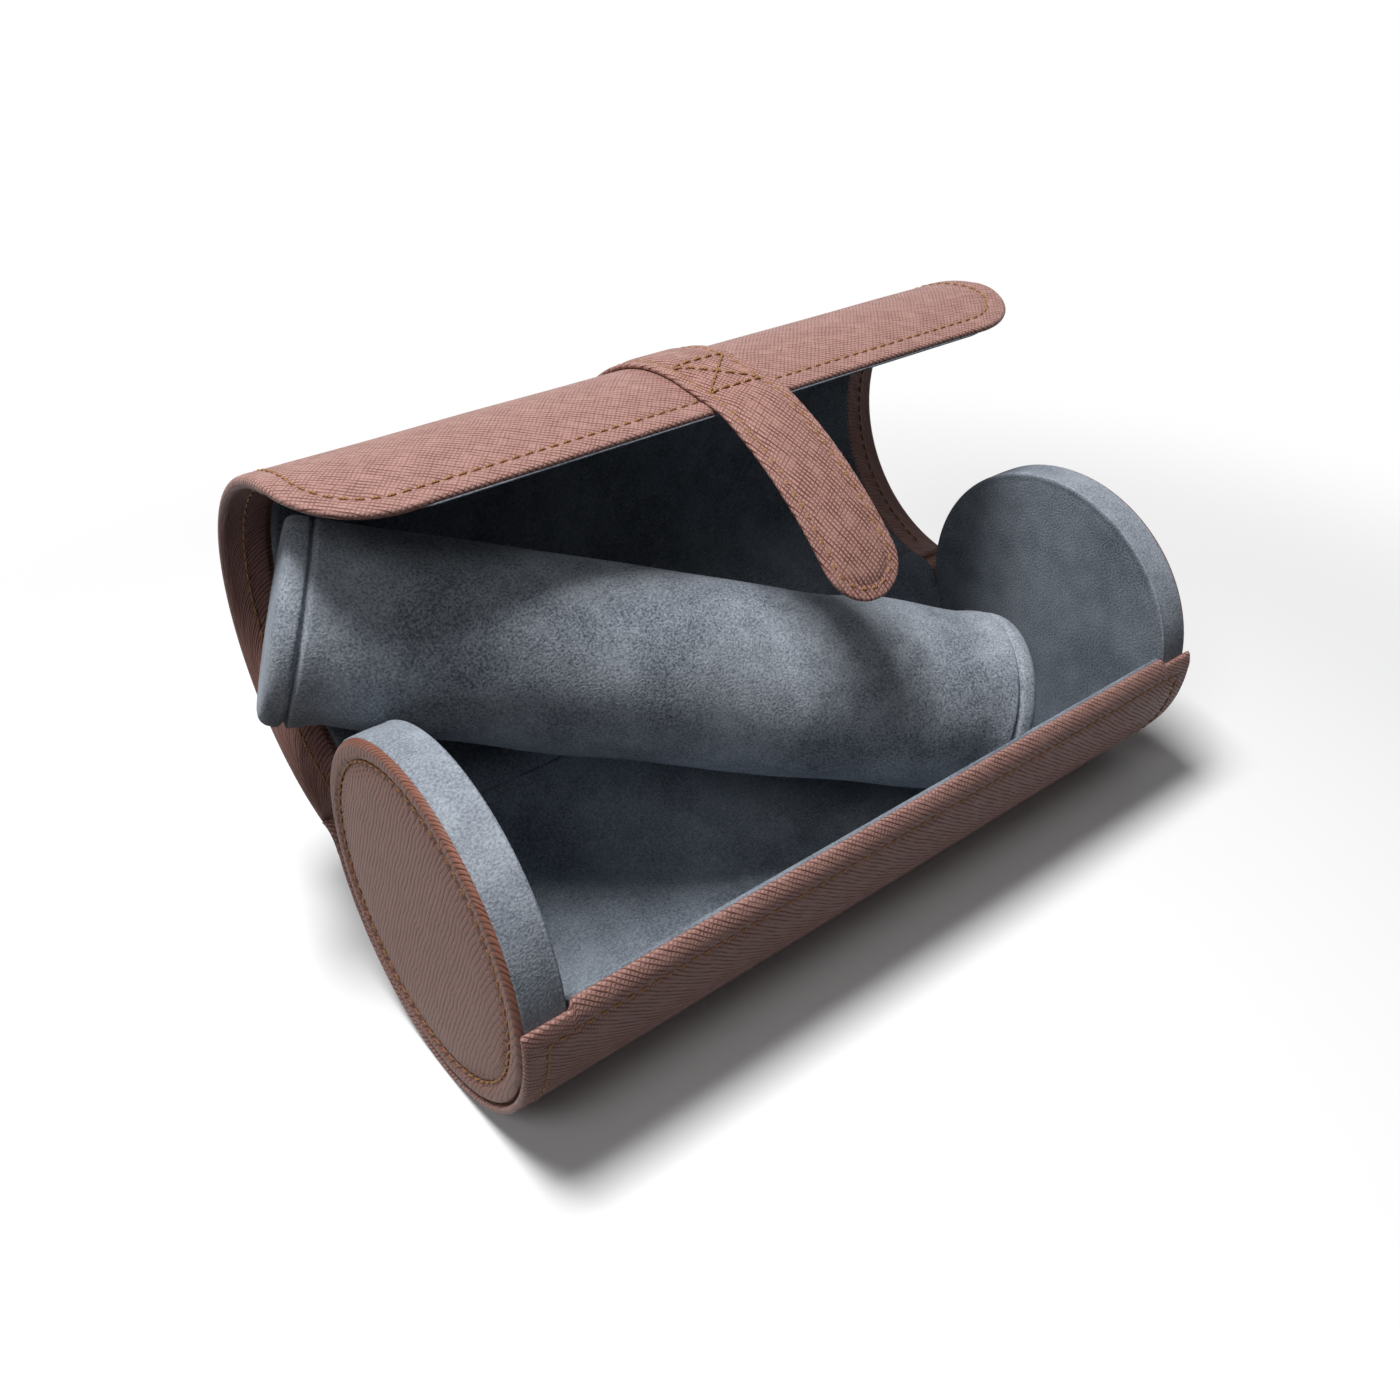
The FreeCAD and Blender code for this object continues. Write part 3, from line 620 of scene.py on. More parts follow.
@dataclass(frozen=True)
class Sewing:
    """A row of stitches: each a short thread that comes out of the leather and dives back in."""

    pitch: float = 3.0 * MM
    stitch: float = 2.35 * MM
    radius: float = 0.30 * MM
    rise: float = 0.20 * MM
    sink: float = 0.30 * MM
    taper: float = 0.75
    rings: int = 7
    sides: int = 6

    def tubes(self, points: np.ndarray, normals: np.ndarray, closed: bool) -> tuple[np.ndarray, np.ndarray]:
        """Points of every stitch along a line, and their UVs.

        Each stitch follows the line for its length; its height over the leather is an arch
        rise - (rise + sink) t^4, with t from -1 to 1 along it, and its section is a circle that narrows
        towards both ends.

        Args:
            points: The line, count by 3.
            normals: Outward directions, count by 3.
            closed: Whether the line is a ring.

        Returns:
            Stitches by rings by sides by 3, and the UVs to match.
        """
        length = lengths_along(points)
        count = max(int(length[-1] / self.pitch), 1)
        pitch = length[-1] / count
        middles = (np.arange(count) + 0.5) * pitch
        t = np.linspace(-1.0, 1.0, self.rings)
        at = middles[:, None] + t[None, :] * self.stitch / 2 * pitch / self.pitch
        if closed:
            at = at % length[-1]
        place, normal = taken_at(at, length, points), taken_at(at, length, normals)
        normal /= np.linalg.norm(normal, axis=-1, keepdims=True)
        along = np.gradient(place, axis=1)
        along /= np.linalg.norm(along, axis=-1, keepdims=True)
        side = np.cross(along, normal)
        height = self.rise - (self.rise + self.sink) * t**4
        slim = self.radius * np.sqrt(np.maximum(1.0 - self.taper * t**6, 0.0))
        angle = np.linspace(0.0, 2.0 * np.pi, self.sides, endpoint=False)
        centre = place + normal * height[None, :, None]
        ring = (
            side[:, :, None, :] * np.cos(angle)[None, None, :, None]
            + normal[:, :, None, :] * np.sin(angle)[None, None, :, None]
        )
        tubes = centre[:, :, None, :] + ring * slim[None, :, None, None]
        across = np.broadcast_to(angle * self.radius, tubes.shape[:3])
        return tubes, np.stack([np.broadcast_to(at[:, :, None], tubes.shape[:3]), across], axis=-1)

    def sew(
        self, name: str, lines: list[SewnLine], material: bpy.types.Material, closed: bool = False
    ) -> bpy.types.Object:
        """Sew along several lines and make one piece of all the stitches.

        Args:
            name: The piece's name.
            lines: Points and outward directions of each line.
            material: The thread.
            closed: Whether the lines are rings.

        Returns:
            The new object.
        """
        made = [self.tubes(points, normals, closed) for points, normals in lines]
        tubes = np.concatenate([tube for tube, _ in made])
        uv = np.concatenate([flat for _, flat in made])
        count, rings, sides = tubes.shape[:3]
        k, i, j = np.meshgrid(np.arange(count), np.arange(rings - 1), np.arange(sides), indexing="ij")
        base, turn = (k * rings + i) * sides, (j + 1) % sides
        walls = np.stack([base + j, base + turn, base + sides + turn, base + sides + j], axis=-1)
        start = (np.arange(count) * rings * sides)[:, None]
        ring = np.arange(sides)
        lids = np.concatenate([start + ring[::-1], start + (rings - 1) * sides + ring])
        mesh = bpy.data.meshes.new(name)
        mesh.from_pydata(tubes.reshape(-1, 3).tolist(), [], walls.reshape(-1, 4).tolist() + lids.tolist())
        mesh.polygons.foreach_set("use_smooth", np.ones(len(mesh.polygons), dtype=bool))
        layer = mesh.uv_layers.new(name="surface")
        loops = np.empty(len(mesh.loops), dtype=np.int32)
        mesh.loops.foreach_get("vertex_index", loops)
        layer.data.foreach_set("uv", uv.reshape(-1, 2)[loops].reshape(-1).astype(np.float32))
        mesh.update()
        return new_object(name, mesh, material)


# Finishes


def add_node(
    tree: bpy.types.NodeTree, kind: str, inputs: dict | None = None, **settings: object
) -> bpy.types.ShaderNode:
    """Add a node, set its properties and set or link its inputs.

    Args:
        tree: The material's node tree.
        kind: The node's type name.
        inputs: Input name or number to a value, or to the output socket that feeds it.
        **settings: Properties of the node.

    Returns:
        The new node.
    """
    node = tree.nodes.new(kind)
    for key, setting in settings.items():
        setattr(node, key, setting)
    for key, value in (inputs or {}).items():
        if isinstance(value, bpy.types.NodeSocket):
            tree.links.new(value, node.inputs[key])
        else:
            node.inputs[key].default_value = value
    return node


def new_material(name: str) -> tuple[bpy.types.Material, bpy.types.NodeTree]:
    """An empty node material and its tree."""
    material = bpy.data.materials.new(name)
    material.use_nodes = True
    material.node_tree.nodes.clear()
    return material, material.node_tree


def band_scale(period: float) -> float:
    """Scale of a Wave Texture whose bands repeat after a length: 2 pi / (20 period)."""
    return 2.0 * math.pi / (20.0 * period)


def pressed_lines(
    tree: bpy.types.NodeTree, flat: bpy.types.NodeSocket, turn: float, pitch: float, bend: float
) -> bpy.types.NodeSocket:
    """One set of parallel lines in leather: how deep they go, from 0 on the bars between to 1 in the lines.

    Thin bands of a wave, bent a little, times a noise that is drawn out along them and lets them fade.

    Args:
        tree: The material's tree.
        flat: The UV in metres.
        turn: Direction across the lines, in degrees.
        pitch: Distance between lines.
        bend: How far they wander.

    Returns:
        The socket that gives the depth.
    """
    turned = add_node(
        tree, "ShaderNodeMapping", {"Vector": flat, "Rotation": (0.0, 0.0, math.radians(turn))}
    ).outputs["Vector"]
    wave = {"Vector": turned, "Scale": band_scale(pitch), "Distortion": bend}
    wave |= {"Detail": 2.0, "Detail Scale": 0.35, "Detail Roughness": 0.6}
    band = add_node(tree, "ShaderNodeTexWave", wave, wave_type="BANDS", bands_direction="X").outputs["Fac"]
    cut = add_node(
        tree, "ShaderNodeMapRange", {"Value": band, "From Min": 0.5, "From Max": 0.06}
    ).outputs["Result"]
    stretched = add_node(
        tree, "ShaderNodeMapping", {"Vector": turned, "Scale": (0.7 / pitch, 0.16 / pitch, 1.0)}
    ).outputs["Vector"]
    patchy = add_node(
        tree, "ShaderNodeTexNoise", {"Vector": stretched, "Scale": 1.0, "Detail": 2.0}
    ).outputs["Fac"]
    kept = add_node(
        tree, "ShaderNodeMapRange", {"Value": patchy, "From Min": 0.28, "From Max": 0.58, "To Min": 0.25}
    ).outputs["Result"]
    return add_node(tree, "ShaderNodeMath", {0: cut, 1: kept}, operation="MULTIPLY").outputs["Value"]


def shaded_by_spots(
    tree: bpy.types.NodeTree, base: bpy.types.NodeSocket, spots: bpy.types.NodeSocket, low: float, high: float
) -> bpy.types.NodeSocket:
    """A tone made uneven: noise between 0.3 and 0.7, spread between two values and added to it.

    Args:
        tree: The material's tree.
        base: The tone so far.
        spots: The noise.
        low: What the darkest spots add.
        high: What the lightest spots add.

    Returns:
        The socket of the sum, kept between 0 and 1.
    """
    spread = add_node(
        tree,
        "ShaderNodeMapRange",
        {"Value": spots, "From Min": 0.3, "From Max": 0.7, "To Min": low, "To Max": high},
    ).outputs["Result"]
    total = add_node(tree, "ShaderNodeMath", {0: base, 1: spread}, operation="ADD", use_clamp=True)
    return total.outputs["Value"]


@dataclass(frozen=True)
class Relief:
    """How a field shapes a surface: its socket, height in metres, strength and whether it is cut in."""

    field: bpy.types.NodeSocket
    height: float
    strength: float = 1.0
    cut_in: bool = False


def paint_surface(
    tree: bpy.types.NodeTree,
    tones: tuple[str, str],
    share: bpy.types.NodeSocket,
    relief: Relief,
    surface: dict,
) -> None:
    """Colour a surface between two tones, give it its relief and join it to the material's output.

    Args:
        tree: The material's tree.
        tones: The hex colours at a share of 0 and of 1.
        share: The socket that mixes them.
        relief: What its bump follows.
        surface: The shader's other inputs.
    """
    colour = add_node(
        tree,
        "ShaderNodeMix",
        {"Factor": share, "A": linear(tones[0]), "B": linear(tones[1])},
        data_type="RGBA",
    ).outputs["Result"]
    bump = add_node(
        tree,
        "ShaderNodeBump",
        {"Height": relief.field, "Strength": relief.strength, "Distance": relief.height},
        invert=relief.cut_in,
    ).outputs["Normal"]
    shader = add_node(tree, "ShaderNodeBsdfPrincipled", {"Base Color": colour, "Normal": bump, **surface})
    add_node(tree, "ShaderNodeOutputMaterial", {"Surface": shader.outputs[0]})


@dataclass(frozen=True)
class CrossGrainLeather:
    """Cow leather pressed with a fine slanting cross-hatch and sealed with a thin waxy coat.

    The press cuts narrow lines in two directions, one deeper. The bars between them catch the light, and the
    lines fade out here and there. The lines are coloured darker and redder: partly the leather's own tone,
    partly painted shade in the cut lines. They are drawn a little wider apart than the real ones, so that a
    render shows them.
    """

    name: str
    bar_hex: str
    line_tone_and_shade_hex: str
    first_turn: float
    second_turn: float
    first_pitch: float = 0.98 * MM
    second_pitch: float = 0.88 * MM
    second_depth: float = 0.62
    bend: float = 3.2
    relief: float = 0.15 * MM
    patch: float = 7.0 * MM
    unevenness: float = 0.13
    roughness: float = 0.40
    line_roughness: float = 0.25
    gloss: float = 0.25

    def build(self) -> bpy.types.Material:
        """Make the material from two crossed sets of cut lines on the piece's own UV in metres."""
        material, tree = new_material(self.name)
        flat = add_node(tree, "ShaderNodeUVMap", uv_map="surface").outputs["UV"]
        first = pressed_lines(tree, flat, self.first_turn, self.first_pitch, self.bend)
        second = pressed_lines(tree, flat, self.second_turn, self.second_pitch, self.bend)
        fainter = add_node(
            tree, "ShaderNodeMath", {0: second, 1: self.second_depth}, operation="MULTIPLY"
        ).outputs["Value"]
        depth = add_node(tree, "ShaderNodeMath", {0: first, 1: fainter}, operation="MAXIMUM").outputs["Value"]
        spots = {"Vector": flat, "Scale": 1.0 / self.patch, "Detail": 4.0}
        uneven = add_node(tree, "ShaderNodeTexNoise", spots).outputs["Fac"]
        shade = shaded_by_spots(tree, depth, uneven, 0.0, self.unevenness)
        shine = add_node(
            tree,
            "ShaderNodeMapRange",
            {"Value": shade, "To Min": self.roughness, "To Max": self.roughness + self.line_roughness},
        ).outputs["Result"]
        surface = {"Roughness": shine, "IOR": 1.47, "Specular IOR Level": self.gloss}
        relief = Relief(depth, self.relief, cut_in=True)
        # The colour darkens with the lines' depth: painted shade in the cut lines, on top of their own darker
        # tone.
        paint_surface(tree, (self.bar_hex, self.line_tone_and_shade_hex), shade, relief, surface)
        return material


@dataclass(frozen=True)
class WaterGrainLeather:
    """Smooth leather with thin wandering creases that all lean one way, as on the padded end faces."""

    name: str
    high_hex: str
    crease_shade_hex: str
    turn: float
    crease_pitch: float = 1.1 * MM
    bend: float = 6.0
    relief: float = 0.12 * MM
    patch: float = 9.0 * MM
    unevenness: float = 0.22
    roughness: float = 0.5
    gloss: float = 0.28

    def build(self) -> bpy.types.Material:
        """Make the material from one set of wandering lines on the piece's UV in metres."""
        material, tree = new_material(self.name)
        flat = add_node(tree, "ShaderNodeUVMap", uv_map="surface").outputs["UV"]
        creases = pressed_lines(tree, flat, self.turn, self.crease_pitch, self.bend)
        spots = {"Vector": flat, "Scale": 1.0 / self.patch, "Detail": 3.0}
        uneven = add_node(tree, "ShaderNodeTexNoise", spots).outputs["Fac"]
        shade = shaded_by_spots(tree, creases, uneven, 0.0, self.unevenness)
        surface = {"Roughness": self.roughness, "IOR": 1.47, "Specular IOR Level": self.gloss}
        relief = Relief(creases, self.relief, 0.9, cut_in=True)
        # The creases are coloured towards the darker tone: painted shade in the creases.
        paint_surface(tree, (self.high_hex, self.crease_shade_hex), shade, relief, surface)
        return material


@dataclass(frozen=True)
class Suede:
    """Brushed microfibre suede: a short nap that lies in patches, lighter where it was stroked one way.

    The fibres themselves are finer than a pixel, so their speckle is drawn at about half a millimetre.
    """

    name: str
    light_hex: str
    dark_hex: str
    patch: float = 26.0 * MM
    mottle: float = 5.5 * MM
    mottle_reach: float = 0.13
    fibre: float = 0.52 * MM
    fibre_reach: float = 0.42
    relief: float = 0.30 * MM
    sheen: float = 0.25
    sheen_hex: str = "#c4cdd8"

    def build(self) -> bpy.types.Material:
        """Make the material from stroked patches, a mottle, a speckle and sheen on Object coordinates."""
        material, tree = new_material(self.name)
        here = add_node(tree, "ShaderNodeTexCoord").outputs["Object"]
        fields = []
        for size, detail in ((self.patch, 2.0), (self.mottle, 3.0), (self.fibre, 3.0)):
            spots = {"Vector": here, "Scale": 1.0 / size, "Detail": detail, "Roughness": 0.55}
            fields.append(add_node(tree, "ShaderNodeTexNoise", spots).outputs["Fac"])
        stroked, mottled, nap = fields
        tone = add_node(
            tree,
            "ShaderNodeMapRange",
            {"Value": stroked, "From Min": 0.3, "From Max": 0.7, "To Min": 0.3, "To Max": 0.7},
            interpolation_type="SMOOTHSTEP",
        ).outputs["Result"]
        for field, reach in ((mottled, self.mottle_reach), (nap, self.fibre_reach)):
            tone = shaded_by_spots(tree, tone, field, -reach, reach)
        surface = {"Roughness": 0.95, "Specular IOR Level": 0.15, "Sheen Weight": self.sheen}
        surface |= {"Sheen Roughness": 0.45, "Sheen Tint": linear(self.sheen_hex)}
        paint_surface(tree, (self.dark_hex, self.light_hex), tone, Relief(nap, self.relief, 0.7), surface)
        return material


@dataclass(frozen=True)
class WaxedThread:
    """Twisted polyester sewing thread with a little wax: plies slant across it and shine softly."""

    name: str
    light_hex: str
    dark_hex: str
    ply_pitch: float = 0.5 * MM
    ply_turn: float = 40.0
    relief: float = 0.08 * MM

    def build(self) -> bpy.types.Material:
        """Make the material from slanting bands along each stitch's own UV in metres."""
        material, tree = new_material(self.name)
        flat = add_node(tree, "ShaderNodeUVMap", uv_map="surface").outputs["UV"]
        turn = (0.0, 0.0, math.radians(self.ply_turn))
        slanted = add_node(tree, "ShaderNodeMapping", {"Vector": flat, "Rotation": turn}).outputs["Vector"]
        wave = {"Vector": slanted, "Scale": band_scale(self.ply_pitch)}
        plies = add_node(tree, "ShaderNodeTexWave", wave, bands_direction="X").outputs["Fac"]
        # The thread is coloured darker between its plies: painted shade in the twist's grooves.
        tones = (self.dark_hex, self.light_hex)
        paint_surface(tree, tones, plies, Relief(plies, self.relief, 0.5), {"Roughness": 0.55})
        return material


@dataclass(frozen=True)
class HiddenFiller:
    """Grey board, foam or plated steel inside the case: a mottled matt or metallic stock."""

    name: str
    light_hex: str
    dark_hex: str
    speck: float
    roughness: float = 0.9
    metallic: float = 0.0
    relief: float = 0.1 * MM

    def build(self) -> bpy.types.Material:
        """Make the material from one mottle on Object coordinates."""
        material, tree = new_material(self.name)
        here = add_node(tree, "ShaderNodeTexCoord").outputs["Object"]
        spots = {"Vector": here, "Scale": 1.0 / self.speck, "Detail": 3.0}
        mottle = add_node(tree, "ShaderNodeTexNoise", spots).outputs["Fac"]
        surface = {"Roughness": self.roughness, "Metallic": self.metallic}
        tones = (self.dark_hex, self.light_hex)
        paint_surface(tree, tones, mottle, Relief(mottle, self.relief, 0.3), surface)
        return material


class Finishes:
    """Every material of the case, made once."""

    def __init__(self) -> None:
        """Build the materials."""
        # The lines' darker tone is partly the leather's own and partly painted shade in the cut lines; the
        # strap's lines are darker still.
        bars, lines = "#b58c83", "#704a42"
        self.lid = CrossGrainLeather("cross_grain_leather_lid", bars, lines, 48.0, -42.0).build()
        tray = CrossGrainLeather("cross_grain_leather_tray", bars, lines, 52.0, -36.0, gloss=0.28)
        self.tray = tray.build()
        self.strap = CrossGrainLeather("cross_grain_leather_strap", "#b98e84", "#62392f", 20.0, -58.0).build()
        # The end face's darker tone is painted shade in its creases.
        self.end_face = WaterGrainLeather("creased_leather_end_face", "#946355", "#63402f", 28.0).build()
        self.lining = Suede("grey_suede_lining", "#98a0aa", "#59606a").build()
        # The end rims' suede is a lighter copy of the lining's grey suede: painted light on the lit rims.
        self.rim = Suede("grey_suede_rim_painted_light", "#b4bbc5", "#767d88", patch=18.0 * MM).build()
        self.cushion = Suede("grey_suede_cushion", "#b7bec8", "#5a616b", patch=30.0 * MM).build()
        # The thread's dark tone is painted shade between its plies.
        self.thread = WaxedThread("waxed_thread_tan", "#a97744", "#6a4427").build()
        self.board = HiddenFiller("grey_board", "#9a8c78", "#7c705f", 1.5 * MM).build()
        self.foam = HiddenFiller("open_cell_foam", "#d8d4c6", "#bdb8a8", 0.8 * MM).build()
        self.steel = HiddenFiller("nickel_plated_magnet", "#c2c2c0", "#a5a5a3", 2.0 * MM, 0.3, 1.0).build()


# What the sub-assemblies share


@dataclass
class Assembly:
    """A part of the case, which knows the case's places and the finishes."""

    case: CaseFrame
    finishes: Finishes


def stand_for(piece: bpy.types.Object, body: str, slot: str, *nodes: str) -> None:
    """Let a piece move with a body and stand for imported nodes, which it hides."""
    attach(piece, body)
    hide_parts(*nodes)


# The tray

TRAY_BACK = math.radians(349.55)


def behind_lip(s: np.ndarray, reach: float = 4.2 * MM, fade: float = 1.6 * MM) -> np.ndarray:
    """One along the tray's rolled lip and nought below it."""
    return 1.0 - smooth(reach - fade, reach, s)


@dataclass
class TrayShell(Layer):
    """The tray's leather over its board, with a rolled lip along the front."""

    wall: float = 1.8 * MM
    lip: float = 2.4 * MM
    lip_step: float = 1.8 * MM
    step_reach: float = 9.0 * MM
    lip_bulge: float = 0.5 * MM
    lip_lean: float = 1.2 * MM
    roll_beside: float = 0.4
    disc_face: float = 0.0
    stitch_drop: float = 6.2 * MM
    stitch_inset: float = 5.0 * MM
    groove: float = 0.28 * MM
    groove_width: float = 0.9 * MM
    clearance: float = 0.05 * MM
    wave: float = 0.05 * MM
    wavelength: float = 40.0 * MM

    def between_discs(self, x: np.ndarray) -> np.ndarray:
        """One between the end discs and nought beside them."""
        return 1.0 - smooth(self.disc_face - 0.8 * MM, self.disc_face + 0.2 * MM, np.abs(x))

    def upper(self, x: np.ndarray, s: np.ndarray, depth: np.ndarray) -> np.ndarray:
        """The outer face: drawn in along the stitch rows, with a full roll that leans in over the lip."""
        row = ridge(s, self.stitch_drop, self.groove_width)
        side = ridge(np.abs(x), self.outline.half_width - self.stitch_inset, self.groove_width)
        side = side * smooth(self.stitch_drop - MM, self.stitch_drop, s)
        groove = np.maximum(row * (np.abs(x) < self.outline.half_width - self.stitch_inset + MM), side)
        t = np.clip(s / self.stitch_drop, 0.0, 1.0)
        roll = self.lip_bulge * np.sin(np.pi * t) - self.lip_lean * (1.0 - np.sin(np.pi * t / 2))
        roll = roll * (self.roll_beside + (1.0 - self.roll_beside) * self.between_discs(x))
        waves = self.wave * gentle_waves(x, s, 11, self.wavelength)
        return -self.clearance - self.groove * groove + roll + waves

    def lower(self, x: np.ndarray, s: np.ndarray, depth: np.ndarray) -> np.ndarray:
        """The inner face: the wall's thickness, and the roll's along the lip."""
        roll = behind_lip(s) * self.between_discs(x)
        return -self.wall - (self.lip - self.wall) * roll

    def slid(self, x: np.ndarray, s: np.ndarray) -> np.ndarray:
        """The lip's edge lies a step lower beside the end discs, and the cut is drawn down with it."""
        beside = 1.0 - self.between_discs(x)
        return s + self.lip_step * beside * (1.0 - smooth(0.0, self.step_reach, s))

    def stitch_rows(self) -> np.ndarray:
        """The sewn line: down one end, along the lip and down the other end."""
        side = self.outline.half_width - self.stitch_inset
        far = self.outline.front - 4.0 * MM
        corners = [[-side, far], [-side, self.stitch_drop], [side, self.stitch_drop], [side, far]]
        return resample(np.array(corners), 900)


@dataclass
class TrayLining(Layer):
    """The suede that lines the tray, over a thin pad."""

    near: float = -1.85 * MM
    lip_near: float = -2.45 * MM
    pad: float = 1.95 * MM
    wave: float = 0.12 * MM
    wavelength: float = 35.0 * MM

    def upper(self, x: np.ndarray, s: np.ndarray, depth: np.ndarray) -> np.ndarray:
        """The glued side, which comes forward to pass behind the lip."""
        return self.near + (self.lip_near - self.near) * behind_lip(s)

    def lower(self, x: np.ndarray, s: np.ndarray, depth: np.ndarray) -> np.ndarray:
        """The napped side, with faint swells in the padding."""
        swell = self.wave * gentle_waves(x, s, 5, self.wavelength) * (1.0 - behind_lip(s))
        return self.near - self.pad + swell


@dataclass
class Tray(Assembly):
    """The half-cylinder tray: leather shell, suede lining and its sewing."""

    lip_top: float = math.radians(175.4)
    corner: float = 0.6 * MM
    side_gap: float = 0.05 * MM
    lining_drop: float = 0.35 * MM
    lining_corner: float = 0.8 * MM

    def build(self) -> None:
        """Make the tray's pieces and let them ride on the tray."""
        case = self.case
        path = round_path(case.tray_out, self.lip_top, TRAY_BACK)
        shell = TrayShell(
            "tray_shell",
            path,
            Outline(case.half, 0.0, path.length, self.corner),
            Place.TRAY,
            columns=250,
            rows=150,
            seam_at_front=True,
            disc_face=case.inner_face,
        )
        leather = shell.build(case, self.finishes.tray)
        stand_for(leather, "tray", "brown_leather", "tray_leather", "tray_board")
        width, corner = case.inner_face - self.side_gap, self.lining_corner
        inside = Outline(width, self.lining_drop, path.length, corner, corner)
        lining = TrayLining("tray_suede", path, inside, Place.TRAY, columns=110, rows=90)
        suede = lining.build(case, self.finishes.lining)
        stand_for(suede, "tray", "grey_suede", "tray_lining")
        lines = [shell.line_on_top(case, shell.stitch_rows())]
        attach(Sewing().sew("tray_stitching", lines, self.finishes.thread), "tray")


# The end discs


@dataclass
class EndDisc(Assembly):
    """One padded end: a leather face with a rolled, stitched edge, and suede round the rim and inside."""

    side: int
    stitch_inset: float = 5.0 * MM
    leather_edge: float = 0.35 * MM
    face_round: float = 1.5 * MM
    clearance: float = 0.05 * MM
    groove: float = 0.42 * MM
    groove_width: float = 0.9 * MM
    padding_fall: float = 0.30 * MM
    face_turns: int = 640
    rim_turns: int = 240
    puckers: int = 108
    pucker_depth: float = 0.13 * MM
    pucker_inset: float = 5.6 * MM
    pucker_width: float = 2.8 * MM
    rim_swell: float = 0.12 * MM
    seam: float = 0.22 * MM
    seam_width: float = 0.5 * MM

    @property
    def word(self) -> str:
        """Left or right."""
        return "left" if self.side < 0 else "right"

    def turned(
        self, name: str, radius: np.ndarray, depth: np.ndarray, turns: int, material: bpy.types.Material
    ) -> bpy.types.Object:
        """Turn a profile about the case's axis, with uneven puckers on the leather by the stitch row.

        Args:
            name: The piece's name.
            radius: Radii of the profile's points.
            depth: Their depths from the end of the case.
            turns: Steps round the axis.
            material: The piece's material.

        Returns:
            The new object.
        """
        angle = np.linspace(0.0, 2.0 * np.pi, turns, endpoint=False)
        r, d = radius[:, None], depth[:, None]
        ring = ridge(r, self.case.disc_radius - self.pucker_inset, self.pucker_width)
        pucker = self.pucker_depth * ring * (d < 2.0 * MM)
        uneven = 0.65 + 0.35 * np.sin(5.0 * angle + 1.0) * np.sin(3.0 * angle)
        d = d + pucker * (uneven * np.sin(self.puckers * angle + 2.6 * np.sin(9.0 * angle)))[None, :]
        x = np.broadcast_to(self.side * (self.case.half - d), (len(radius), turns))
        points = np.stack([x, r * np.cos(angle), r * np.sin(angle)], axis=-1)
        flat = np.stack([self.side * r * np.cos(angle), r * np.sin(angle) + 3.0 * d], axis=-1)
        mesh = grid_mesh(name, self.case.standing(points), flat, around=True)
        merge_close(mesh)
        return new_object(name, mesh, material)

    def face_profile(self) -> tuple[np.ndarray, np.ndarray]:
        """Radii and depths of the leather: a padded face, a sewn groove, a rolled edge and its underside."""
        edge = self.case.disc_radius - self.leather_edge
        flat = np.linspace(0.0, edge - self.face_round, 90)
        sewn = self.case.disc_radius - self.stitch_inset
        fall = self.padding_fall * smooth(sewn - 9.0 * MM, sewn, flat)
        fall = fall * (1.0 - smooth(sewn, sewn + 1.6 * MM, flat))
        depth = self.clearance + fall + self.groove * ridge(flat, sewn, self.groove_width)
        angle = np.linspace(0.0, np.pi / 2, 12)[1:]
        turn_r = edge - self.face_round + self.face_round * np.sin(angle)
        turn_d = self.clearance + self.face_round * (1.0 - np.cos(angle))
        under_r = np.array([edge, edge - 0.4 * MM, 0.0])
        under_d = np.array([2.3 * MM, 2.6 * MM, 2.6 * MM])
        return np.concatenate([flat, turn_r, under_r]), np.concatenate([depth, turn_d, under_d])

    def suede_profile(self) -> tuple[np.ndarray, np.ndarray]:
        """Radii and depths of the suede: under the leather's edge, over the rim, a seam, the inner face."""
        outer = self.case.disc_radius
        thick = self.case.half - self.case.inner_face
        rim_d = np.linspace(1.6 * MM, thick - 1.1 * MM, 26)
        swell = self.rim_swell * np.sin(np.pi * (rim_d - rim_d[0]) / (rim_d[-1] - rim_d[0]))
        rim_r = outer - 0.15 * MM + swell
        angle = np.linspace(0.0, np.pi / 2, 10)[1:]
        turn_r = outer - 1.0 * MM + 0.95 * MM * np.cos(angle) + 0.10 * MM * np.sin(2.0 * angle)
        turn_d = thick - 1.0 * MM + 0.95 * MM * np.sin(angle)
        face_r = np.linspace(outer - 1.5 * MM, 0.0, 40)
        face_d = thick - self.clearance - self.seam * ridge(face_r, outer - 2.0 * MM, self.seam_width)
        start_r = np.array([0.0, outer - 1.0 * MM, outer - 0.4 * MM])
        start_d = np.array([1.2 * MM, 1.2 * MM, 1.3 * MM])
        radius = np.concatenate([start_r, rim_r, turn_r, face_r])
        return radius, np.concatenate([start_d, rim_d, turn_d, face_d])

    def shade_inner_face(self, mesh: bpy.types.Mesh) -> None:
        """Give the disc's inner face the lining's darker suede: painted shade, as the inner face lies in
        shadow inside the case.
        """
        mesh.materials.append(self.finishes.lining)
        centres = np.empty(3 * len(mesh.polygons))
        mesh.polygons.foreach_get("center", centres)
        inner = np.abs(centres.reshape(-1, 3)[:, 0]) < self.case.inner_face + 0.3 * MM
        mesh.polygons.foreach_set("material_index", inner.astype(np.int32))

    def build(self) -> None:
        """Make the end's pieces and let them ride on the tray."""
        end, finishes = f"{self.word}_end", self.finishes
        face = self.turned(f"{end}_face", *self.face_profile(), self.face_turns, finishes.end_face)
        stand_for(face, "tray", "brown_leather", f"{end}_leather")
        suede = self.turned(f"{end}_suede", *self.suede_profile(), self.rim_turns, finishes.rim)
